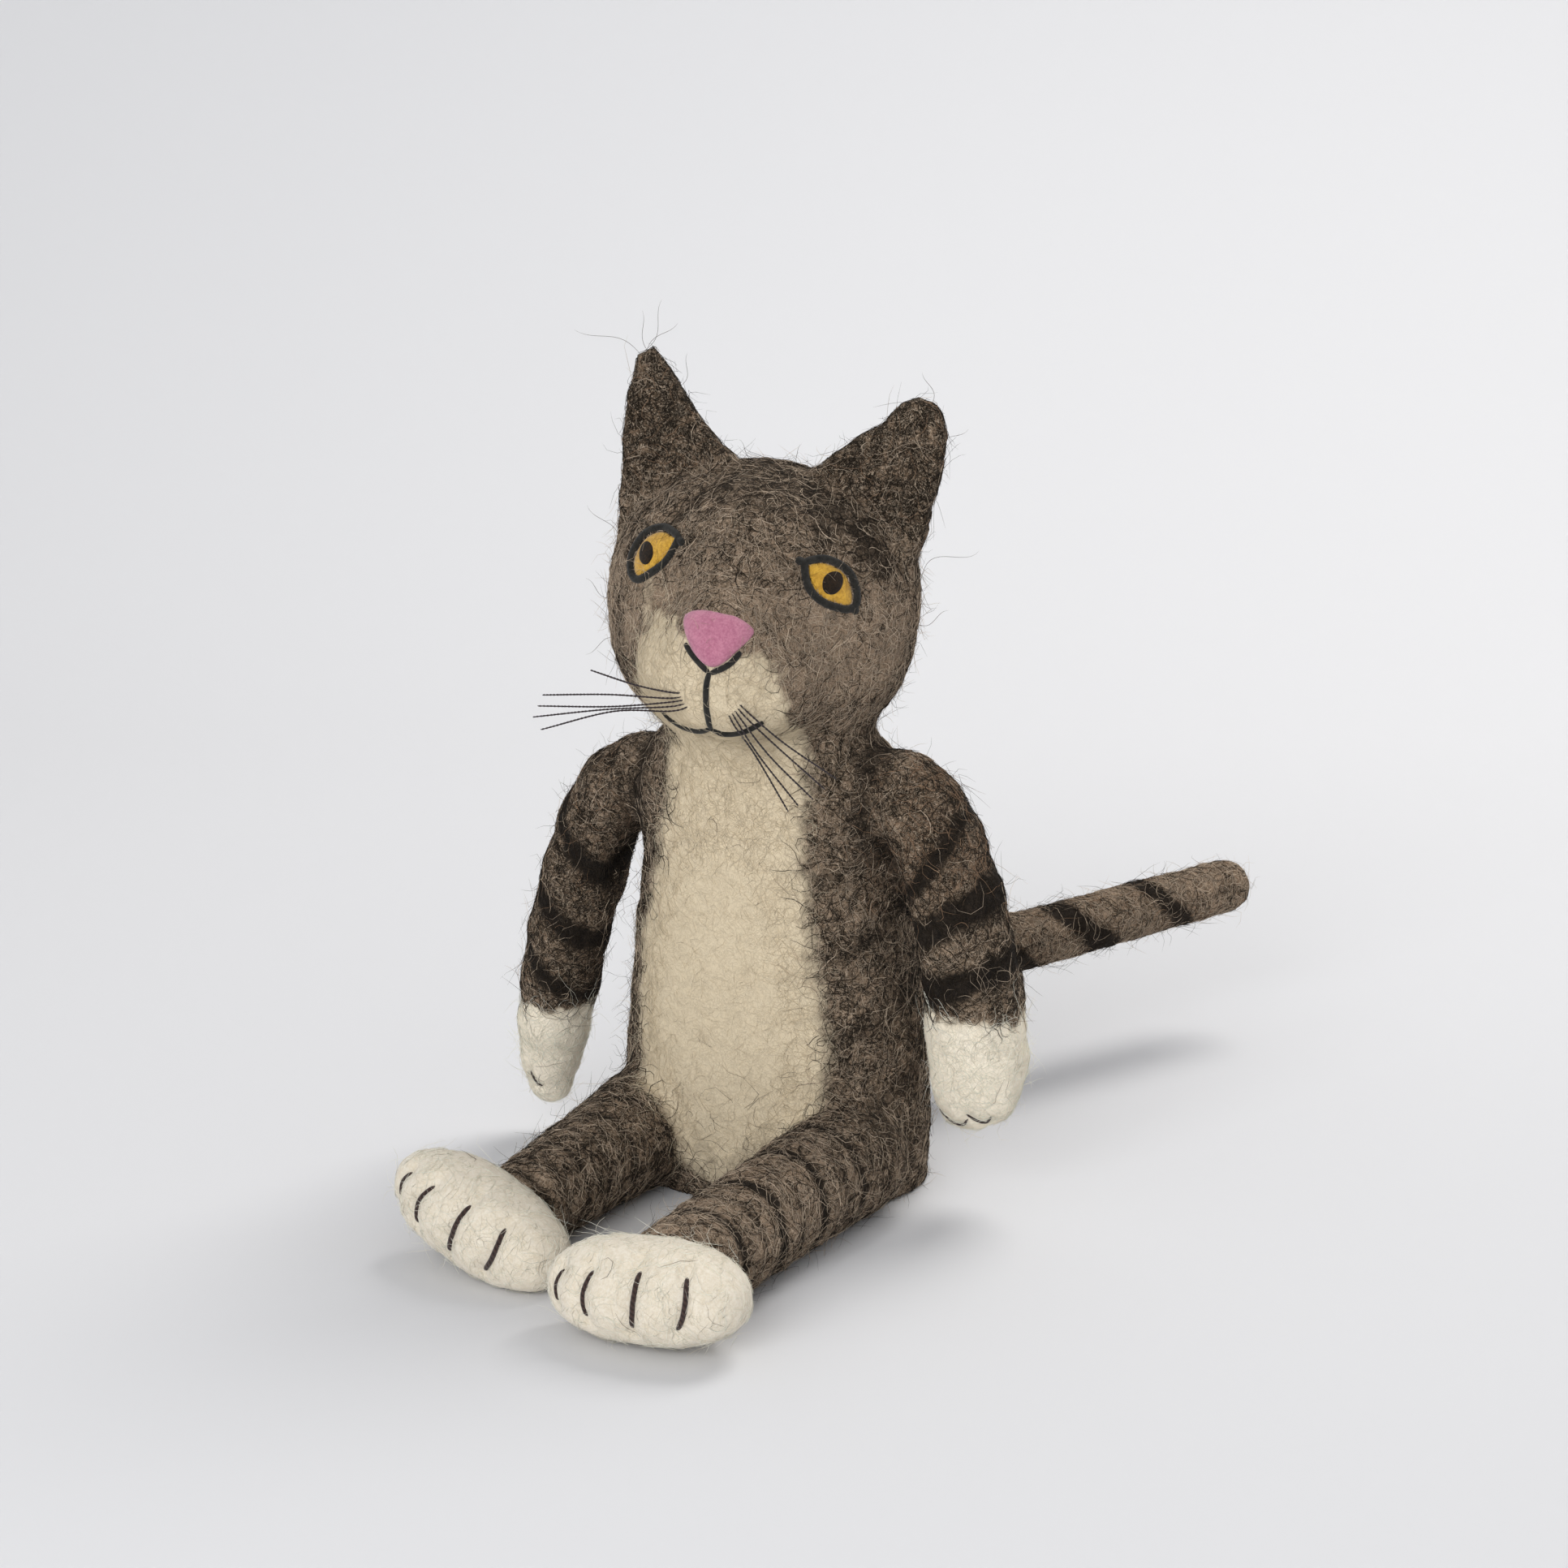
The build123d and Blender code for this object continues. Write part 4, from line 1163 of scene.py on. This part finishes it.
def fibre_tints(masks, count):
    """Colours of single fibres, by the wool that they lie on."""
    stripe, cream, tone, warm = masks
    pick = rng.random(count)
    is_light = pick < np.clip(tone * 1.05, 0, 1) * (1 - 0.96 * stripe)
    shade = rng.uniform(0.55, 1.15, (count, 1))
    light, dark = np.array(PALE_FIBRE) * 0.8 * shade, np.array(DARK_WOOL) * (0.6 + shade)
    tint = np.where(is_light[:, None], light, dark)
    warm_light = is_light & (rng.random(count) < warm)
    tint[warm_light] = np.array(WARM_WOOL) * 1.3 * shade[warm_light]
    on_cream = rng.random(count) < ramp((cream - 0.3) / 0.5)
    bright = np.where(warm[:, None] > 0.5, np.array(WHITE[1]), np.array(CREAM[1]) * 0.98)
    bright = bright * rng.uniform(0.94, 1.06, (count, 1))
    stray = rng.random(count) < 0.012
    tint[on_cream] = np.where(stray[:, None], np.array(WARM_WOOL) * 0.5, bright)[on_cream]
    return np.concatenate([np.clip(tint, 0, 0.95), np.ones((count, 1))], 1)


def fibre_lines(field, roots, lengths, rise):
    """Lines that wander over the surface; rise is how far each one's ends stand off it."""
    count = len(roots)
    normal = unit(slope(field, roots))
    heading = unit(np.cross(normal, rng.normal(size=(count, 3))))
    bend = rng.normal(0, 0.6, count)
    wiggle = rng.normal(0, 0.45, (FIBRE_STEPS, count))
    points = [roots]
    place = roots
    for step in range(FIBRE_STEPS):
        turn = (bend + wiggle[step])[:, None]
        heading = unit(heading * np.cos(turn) + np.cross(normal, heading) * np.sin(turn))
        place = place + heading * (lengths / FIBRE_STEPS)[:, None]
        normal = unit(slope(field, place))
        heading = unit(heading - normal * (heading * normal).sum(1, keepdims=True))
        share = (step + 1) / FIBRE_STEPS
        arch = 0.10 + rise * (share ** 2)
        place = place - normal * np.clip(field(place) - arch, -1.5, 1.5)[:, None]
        place[:, 2] = np.maximum(place[:, 2], FLOOR_GAP)
        points.append(place)
    return np.stack(points, 1)


def fibre_mesh(lines, radii):
    """Closed three-sided hairs along lines."""
    count, stations, _ = lines.shape
    ahead = unit(np.gradient(lines, axis=1))
    side = unit(np.cross(ahead, (0.37, 0.48, 0.80)))
    other = np.cross(ahead, side)
    width = radii[:, None] * np.interp(np.linspace(0, 1, stations), (0, 0.2, 0.7, 1), (0.45, 1, 0.9, 0.25))
    angles = np.array([0, 2, 4]) * math.pi / 3
    rings = (lines[:, :, None] + width[:, :, None, None] * (np.cos(angles)[:, None] * side[:, :, None]
                                                           + np.sin(angles)[:, None] * other[:, :, None]))
    vertices = rings.reshape(-1, 3)
    base = (np.arange(count) * stations * 3)[:, None, None, None]
    i = (np.arange(stations - 1) * 3)[None, :, None, None]
    j = np.arange(3)[None, None, :, None]
    k = (j + 1) % 3
    i = base + i
    quads = np.concatenate([i + j, i + k, i + 3 + k, i + 3 + j], axis=3).reshape(-1, 4)
    triangles = np.concatenate([quads[:, [0, 1, 2]], quads[:, [0, 2, 3]]])
    start = (np.arange(count) * stations * 3)[:, None]
    ends = np.concatenate([start + [0, 2, 1], start + (stations - 1) * 3 + [0, 1, 2]])
    return vertices, np.concatenate([triangles, ends])


def add_fibres(name, vertices, faces, field, masks_of, hold, density=FIBRE_DENSITY):
    roots = fibre_roots(vertices, faces, density)
    roots = settle(field, roots, 2)
    outside = outward_only(roots, field)
    roots = roots[outside]
    count = len(roots)
    masks = np.array(masks_of(roots))
    lengths = rng.uniform(4.5, 12.0, count)
    is_stray = rng.random(count) < STRAY_SHARE
    high = 0.8 + np.minimum(rng.exponential(2.2, count), 7.0)
    rise = np.where(is_stray, high, rng.uniform(0.0, 0.5, count))
    lengths = np.where(is_stray, lengths * rng.uniform(1.0, 1.8, count), lengths)
    lines = fibre_lines(field, roots, lengths, rise)
    radii = np.where(is_stray, 0.05, rng.uniform(0.055, 0.125, count))
    radii = np.where((masks[1] > 0.6) & ~is_stray, radii * 0.6, radii)
    tints = np.repeat(fibre_tints(masks, count), lines.shape[1] * 3, axis=0).reshape(count, -1, 4)
    for number, chosen in enumerate(np.array_split(np.arange(count), math.ceil(count / MOST_FIBRES)), 1):
        points, triangles = fibre_mesh(lines[chosen], radii[chosen])
        piece = make_piece(f"{name.replace('_wool', '')}_loose_fibres_{number}", points, triangles, "fibre",
                           values={"tint": tints[chosen].reshape(-1, 4)})
        settle_piece(piece, hold)


LONG_HAIRS = [  # root and end in the head's own X and Z, and how far the middle bows sideways
    ((-41.5, 66.0), (-36.0, 80.5), 1.5), ((-41.0, 65.0), (-33.0, 76.0), -1.2),
    ((-42.0, 64.5), (-61.0, 71.0), 1.8), ((-40.0, 65.5), (-43.5, 77.0), -1.0),
    ((-30.5, 57.5), (-27.5, 67.0), 1.2), ((41.0, 63.0), (38.5, 71.5), 1.0),
    ((44.5, 50.0), (51.0, 58.5), -1.4), ((43.5, 14.0), (57.0, 27.0), -3.0),
    ((43.0, 2.0), (53.0, 6.0), 1.5), ((-43.5, 10.0), (-51.5, 22.0), 2.0),
    ((-43.0, -4.0), (-52.0, -1.0), -1.5), ((-40.0, -16.0), (-50.0, -20.0), 1.5),
    ((2.0, 40.0), (7.0, 46.5), 1.0), ((-6.0, 40.0), (-12.0, 45.0), -1.0)]


def build_long_hairs():
    """A few single hairs that stand well clear of the ears and the head."""
    share = np.linspace(0, 1, 14)[:, None]
    lines = []
    for root, end, bow in LONG_HAIRS:
        root, end = np.array([root[0], EAR_Y, root[1]]), np.array([end[0], EAR_Y - 2.0, end[1]])
        sideways = np.array([end[2] - root[2], 0, root[0] - end[0]])
        line = root * (1 - share) + end * share + unit(sideways) * bow * np.sin(share * math.pi * 1.6)
        lines.append(from_head(line))
    lines = np.array(lines)
    points, triangles = fibre_mesh(lines, np.full(len(lines), 0.07))
    tints = np.tile([0.10, 0.08, 0.065, 1.0], (len(points), 1))
    piece = make_piece("head_long_hairs", points, triangles, "fibre", values={"tint": tints})
    settle_piece(piece, Ride("head"))


def outward_only(points, field):
    """False for places in the hand cavity, under the soles or buried in another part."""
    shown = points[:, 2] > 0.6
    if field is skin_field:
        shown &= (body_oval(points) > -2.0) | (points[:, 2] > CAVITY_TOP + 1)
        for side in SIDES:
            shown &= foot_field(points, side) > 1.0
            shown &= (arm_field(points, side) > 0.5) | (np.abs(points[:, 0]) < SHOULDER_X - 1)
    return shown


# ---- arms and feet ------------------------------------------------------------------------------------
ARM_SLOTS = {"sleeve": "tabby_wool", "paw": "cream_wool"}


def build_arm(side):
    sign = SIDES[side]
    cuff = CUFFS[side]

    def field(p):
        return arm_field(p, side)

    def masks_of(p):
        return arm_masks(p, side)

    def label(c):
        return np.where(np.abs(c[:, 0]) < SHOULDER_X, "off", np.where(c[:, 2] > cuff, "sleeve", "paw"))

    xs = sorted((sign * (SHOULDER_X - 6), sign * 92.0))
    vertices, quads = mesh_of(field, (xs[0], -30, 0), (xs[1], 22, 136))
    cuts = [((0, 0, cuff), (0, 0, 1), lambda c: np.abs(c[:, 2] - cuff) < 5),
            ((sign * SHOULDER_X, 0, 0), (1, 0, 0), lambda c: np.abs(c[:, 0]) < SHOULDER_X + 5)]
    parts = build_split(vertices, quads, cuts, label)
    hold = Ride(f"arm_{side}")
    for part, slot in ARM_SLOTS.items():
        found, faces = parts[part]
        node = f"arm_{part}_{side}"
        normals = unit(slope(field, found, 0.5))
        piece = make_piece(f"{node}_wool", found, faces, "tabby", normals, mask_values(masks_of(found)))
        settle_piece(piece, hold, [node])
        add_fibres(f"{node}_wool", found, faces, field, masks_of, hold)
    return field


def build_foot(side):
    def field(p):
        return foot_field(p, side)

    def masks_of(p):
        blank = np.zeros(len(p))
        return blank, blank + 1, blank + 0.9, blank + 1

    centre = FOOT_CENTRES[side]
    reach = FOOT_HALVES[side][0] + 5
    low = centre - (reach, reach * 0.8, 0) - (0, 0, FOOT_LIFT + 4)
    high = centre + (reach, reach * 0.8, FOOT_HALVES[side][2] + 12)
    vertices, quads = mesh_of(field, low, high, 0.9)
    normals = unit(slope(field, vertices, 0.5))
    piece = make_piece(f"foot_{side}_wool", vertices, quads, "white", normals)
    hold = Ride(f"leg_{side}")
    settle_piece(piece, hold, [f"foot_{side}"])
    add_fibres(f"foot_{side}_wool", vertices, quads.tolist(), field, masks_of, hold, 0.22)
    strands = []
    for place, half, bow, radius in FOOT_STITCHES:
        share = np.linspace(-1, 1, 26)
        u = place + 1.2 * share + bow * (1 - share ** 2)
        start = from_foot(np.stack([u, np.full(26, 26.0), 1.5 + half * share], 1), side)
        on_skin = cast(field, start, -toe_direction(side))
        normal = unit(slope(field, on_skin))
        depth = np.interp(np.abs(share), (0, 0.8, 1), (0.35, 0.15, -0.9))
        strands.append(tube(on_skin + normal * (depth * radius)[:, None], radius * 0.62, 8, taper=0.25))
    build_strands(f"foot_{side}_toe_yarn", strands, "yarn", hold, [f"foot_toe_stitches_{side}"])


def build_paw_stitches(side, field):
    strands = []
    for line in PAW_STITCHES[side]:
        xs, zs = np.array(line, float).T
        start = smooth_line(np.stack([xs, np.full(len(xs), -40.0), zs], 1), 16)
        on_skin = cast(field, start, (0, 1, 0))
        normal = unit(slope(field, on_skin))
        strands.append(tube(on_skin + normal * 0.12, 0.42, 7, taper=0.5))
    build_strands(f"arm_paw_{side}_yarn", strands, "yarn", Ride(f"arm_{side}"),
                  [f"arm_toe_stitches_{side}"])


# ---- the face -----------------------------------------------------------------------------------------
FACE_AHEAD = -75.0  # casting starts this far in front of the head's middle
LOOK_BACK = HEAD_AXES @ np.array([0, 1.0, 0])


def on_face(points, height=0.0):
    """Head X and Z points laid on the face, and the normals there."""
    found = cast(skin_field, in_face_plane(points), LOOK_BACK)
    normal = unit(slope(skin_field, found, 0.6))
    return found + normal * height, normal


def in_face_plane(points):
    """Head X and Z points in a plane in front of the face."""
    points = np.asarray(points, float)
    return from_head(np.stack([points[:, 0], np.full(len(points), FACE_AHEAD), points[:, 1]], 1))


def grown(ring, by):
    """A closed outline moved outwards; it runs clockwise as seen from the front."""
    ahead = unit(np.roll(ring, -1, 0) - np.roll(ring, 1, 0))
    return ring + by * np.stack([-ahead[:, 1], ahead[:, 0]], 1)


def clockwise(ring):
    x, z = ring.T
    area = (x * np.roll(z, -1) - np.roll(x, -1) * z).sum()
    return ring[::-1] if area > 0 else ring


def face_pad(name, ring, middle, lift, material, nodes,
             rings=10, crown=3.0, sink=0.3, depth=1.2):
    """A pad on the face, from an outline in the head's own X and Z."""
    outline, centre = in_face_plane(ring), in_face_plane([middle])[0]
    vertices, faces = patch(skin_field, outline, centre, LOOK_BACK, lift, rings, crown, sink, depth)
    piece = make_piece(name, vertices, faces, material)
    return settle_piece(piece, Ride("head"), nodes)


def build_eye(side):
    eye = EYES[side]
    corners = np.array(eye["amber"])
    ring = clockwise(smooth_line(np.concatenate([corners, corners[:1]]), 61)[:-1])
    face_pad(f"eye_{side}_iris", ring[::-1], ring.mean(axis=0), 0.9, "amber",
             [f"eye_iris_{side}"])
    angle = np.linspace(0, 2 * math.pi, 28, endpoint=False)
    oval = np.stack([np.cos(angle), np.sin(angle)], 1) * eye["pupil_half"] + eye["pupil"]
    face_pad(f"eye_{side}_pupil", oval, np.array(eye["pupil"]), 1.45, "pupil",
             [f"eye_pupil_{side}"], 6, sink=-0.95, depth=0.2)
    on_skin, _ = on_face(grown(ring, 0.95), 0.25)
    strands = [tube(on_skin, 1.08, 10, closed=True)]
    for tail in eye["tails"]:
        nearest = ring[np.argmin(np.hypot(*(ring - tail).T))]
        middle = (nearest + tail) / 2
        on_skin, _ = on_face(smooth_line([nearest, middle, tail], 12), 0.05)
        strands.append(tube(on_skin, 1.15, 8, taper=0.6))
    vertices, faces, _ = merged(strands)
    piece = make_piece(f"eye_{side}_rim", vertices, faces, "black")
    settle_piece(piece, Ride("head"), [f"eye_rim_{side}"])


NOSE = [(-10.2, 4.4), (-7.4, 6.2), (-3.4, 7.0), (1.5, 6.9), (5.4, 6.3), (9.3, 3.6), (9.4, 1.6), (6.9, -1.8),
        (3.0, -6.3), (-0.8, -7.3), (-5.2, -4.5), (-8.3, -0.5), (-10.0, 2.6)]
MOUTH = [[(-8.0, -2.6), (-4.6, -5.6), (-0.5, -8.8)],
         [(7.4, -2.4), (4.8, -6.0), (0.3, -9.0)],
         [(-0.2, -8.6), (-0.8, -13.0), (-0.6, -18.5), (0.2, -25.4)],
         [(-15.3, -24.8), (-12.4, -26.6), (-8.0, -27.6), (-3.5, -27.2), (0.1, -25.6)],
         [(0.1, -25.6), (3.4, -26.8), (8.7, -25.4), (14.0, -21.8)]]


def build_nose_and_mouth():
    ring = clockwise(smooth_line(NOSE + NOSE[:1], 61)[:-1])[::-1]
    face_pad("nose_wool", ring, np.array([0.0, 0.5]), 1.5, "pink", ["nose_pad"],
             rings=14, crown=4.0, sink=0.35)
    strands = []
    for line in MOUTH:
        on_skin, _ = on_face(smooth_line(np.array(line), 30), 0.12)
        strands.append(tube(on_skin, 0.85, 9, taper=0.35))
    build_strands("mouth_yarn", strands, "black", Ride("head"), ["mouth_line"])


WHISKERS = {  # ends of the strands, in the row frame
    "left": [(22, -38, 119), (25, -38, 121), (29, -37, 123), (32, -36, 126), (35, -35, 129)],
    "right": [(-44, -57, 139), (-47, -56, 142), (-46, -55, 145), (-45, -54, 148), (-31, -52, 156)]}
WHISKER_ROOT = (5.0, -19.6)
WHISKER_PLY_R = 0.17
WHISKER_TWIST = 2.4  # length of one turn


def build_whiskers(side):
    sign = SIDES[side]
    strands = []
    for number, end in enumerate(WHISKERS[side]):
        place = (sign * (WHISKER_ROOT[0] + 0.6 * number), WHISKER_ROOT[1] + 0.8 * number)
        root, normal = on_face([place], -0.8)
        end = np.array(end, float)
        bow = np.array([0, -1.5 - number % 2, 2.0 - 1.4 * number % 3])
        middle = (root[0] + end) / 2 + bow
        first = root[0] + normal[0] * 1.6 + (end - root[0]) * 0.12
        line = smooth_line([root[0], first, middle, end], 70)
        length = np.linspace(0, np.linalg.norm(end - root[0]), 70)
        ahead = unit(np.gradient(line, axis=0))
        across = unit(np.cross(ahead, (0.2, 0.3, 0.93)))
        other = np.cross(ahead, across)
        for ply in (0, math.pi):
            angle = (length / WHISKER_TWIST * 2 * math.pi + ply)[:, None]
            strand = line + 0.8 * WHISKER_PLY_R * (np.cos(angle) * across + np.sin(angle) * other)
            strands.append(tube(strand, WHISKER_PLY_R, 6, taper=0.3))
    build_strands(f"whiskers_{side}_thread", strands, "thread", Ride("head"),
                  [f"whiskers_{side}"])


def build_belly():
    """The cream wool laid over the front of the body, its edge felted in."""
    angle = np.linspace(0, 2 * math.pi, 120, endpoint=False)
    z = 60 + 52 * np.sin(angle)
    low, high = (np.interp(z, BELLY_EDGES[:, 0], c) for c in BELLY_EDGES[:, 1:].T)
    middle, half = (low + high) / 2, (high - low) / 2 - 5
    x = middle + half * np.sign(np.cos(angle)) * np.abs(np.cos(angle)) ** 0.7
    outline = np.stack([x, np.full(120, -70.0), z], 1)
    centre = np.array([-2, -70.0, 60.0])
    vertices, faces = patch(body_field, outline, centre, (0, 1, 0), 0.4, 46, 3.0, 0.5, 1.0)
    normals = unit(slope(body_field, vertices, 0.6))
    piece = make_piece("belly_wool", vertices, faces, "tabby", normals, mask_values(body_masks(vertices)))
    settle_piece(piece, Ride("torso"), ["belly_panel"])


# ---- stage --------------------------------------------------------------------------------------------
AZIMUTH, ELEVATION, DISTANCE = 26.0, 15.0, 1100.0  # the camera's, in degrees and millimetres
TARGET = (1.8, 0.88, 115.0)
LENS = 89.1
ANGLE = math.radians(AZIMUTH)
RIGHT = np.array([math.cos(ANGLE), math.sin(ANGLE), 0])  # as the camera sees it
BACK = np.array([math.sin(ANGLE), -math.cos(ANGLE), 0])  # level, towards the camera
FLOOR_BEND = 500  # radius of the curve between floor and backdrop


def build_stage():
    """A pale floor that curves up behind the puppet."""
    curve = [(500 + FLOOR_BEND * math.sin(a), FLOOR_BEND - FLOOR_BEND * math.cos(a))
             for a in np.linspace(0.1, math.pi / 2, 14)]
    profile = [(-1500, 0), (-700, 0), (500, 0), *curve, (1000, 2600)]
    rows = np.array([-BACK * y + np.array([0, 0, z]) for y, z in profile])
    columns = np.linspace(-2200, 2200, 12)
    vertices = np.concatenate([rows + RIGHT * x for x in columns])
    count = len(profile)
    faces = [[c * count + r, (c + 1) * count + r, (c + 1) * count + r + 1, c * count + r + 1]
             for c in range(len(columns) - 1) for r in range(count - 1)]
    mesh = bpy.data.meshes.new("floor")
    mesh.from_pydata((vertices * MM).tolist(), [], faces)
    mesh.polygons.foreach_set("use_smooth", np.ones(len(mesh.polygons), bool))
    paper = Nodes("paper")
    paper.shader.inputs["Base Color"].default_value = (0.725, 0.73, 0.745, 1)
    paper.shader.inputs["Roughness"].default_value = 0.85
    paper.shader.inputs["Specular IOR Level"].default_value = 0.1
    see_from_behind(paper)
    mesh.materials.append(paper.material)
    floor = bpy.data.objects.new("floor", mesh)
    bpy.context.scene.collection.objects.link(floor)


def see_from_behind(paper):
    """Makes the paper clear where a view meets its back, so that the puppet shows from every side."""
    place = paper.add("ShaderNodeNewGeometry")
    clear = paper.add("ShaderNodeBsdfTransparent")
    either = paper.add("ShaderNodeMixShader")
    paper.link(place.outputs["Backfacing"], either.inputs[0])
    paper.link(paper.shader.outputs[0], either.inputs[1])
    paper.link(clear.outputs[0], either.inputs[2])
    paper.link(either.outputs[0], paper.tree.nodes["Material Output"].inputs["Surface"])


def area_light(name, place, power, size, colour):
    light = bpy.data.lights.new(name, "AREA")
    light.shape = "DISK"
    light.size = size
    light.energy = power
    light.color = colour
    lamp = bpy.data.objects.new(name, light)
    lamp.location = Vector(place)
    lamp.rotation_mode = "QUATERNION"
    lamp.rotation_quaternion = (Vector((0, 0, 0.1)) - lamp.location).to_track_quat("-Z", "Y")
    bpy.context.scene.collection.objects.link(lamp)


def build_lights():
    area_light("key", 0.6 * RIGHT - 0.75 * BACK + np.array([0, 0, 1.4]), 17.5, 1.0, (1.0, 0.975, 0.94))
    area_light("fill", -0.55 * RIGHT + 1.5 * BACK + np.array([0, 0, 0.75]), 16.5, 1.2, (0.97, 0.98, 1.0))
    world = bpy.data.worlds.new("studio")
    bpy.context.scene.world = world
    world.use_nodes = True
    sky = world.node_tree.nodes["Background"]
    sky.inputs["Color"].default_value = (0.985, 0.985, 1.0, 1)
    sky.inputs["Strength"].default_value = 0.45


def build_camera():
    a, e = math.radians(AZIMUTH), math.radians(ELEVATION)
    back = Vector((math.sin(a) * math.cos(e), -math.cos(a) * math.cos(e), math.sin(e)))
    data = bpy.data.cameras.new("camera")
    data.lens = LENS
    data.sensor_width = 36.0
    data.clip_start, data.clip_end = 0.05, 20.0
    camera = bpy.data.objects.new("camera", data)
    camera.rotation_mode = "QUATERNION"
    camera.location = Vector(TARGET) * MM + back * DISTANCE * MM
    camera.rotation_quaternion = (-back).to_track_quat("-Z", "Y")
    bpy.context.scene.collection.objects.link(camera)
    bpy.context.scene.camera = camera
    bpy.context.scene.view_settings.view_transform = "Standard"


build_camera()
build_stage()
build_lights()
build_skin()
build_belly()
for arm_side in SIDES:
    build_paw_stitches(arm_side, build_arm(arm_side))
    build_foot(arm_side)
    build_eye(arm_side)
    build_whiskers(arm_side)
build_nose_and_mouth()
build_long_hairs()

bpy.context.view_layer.update()
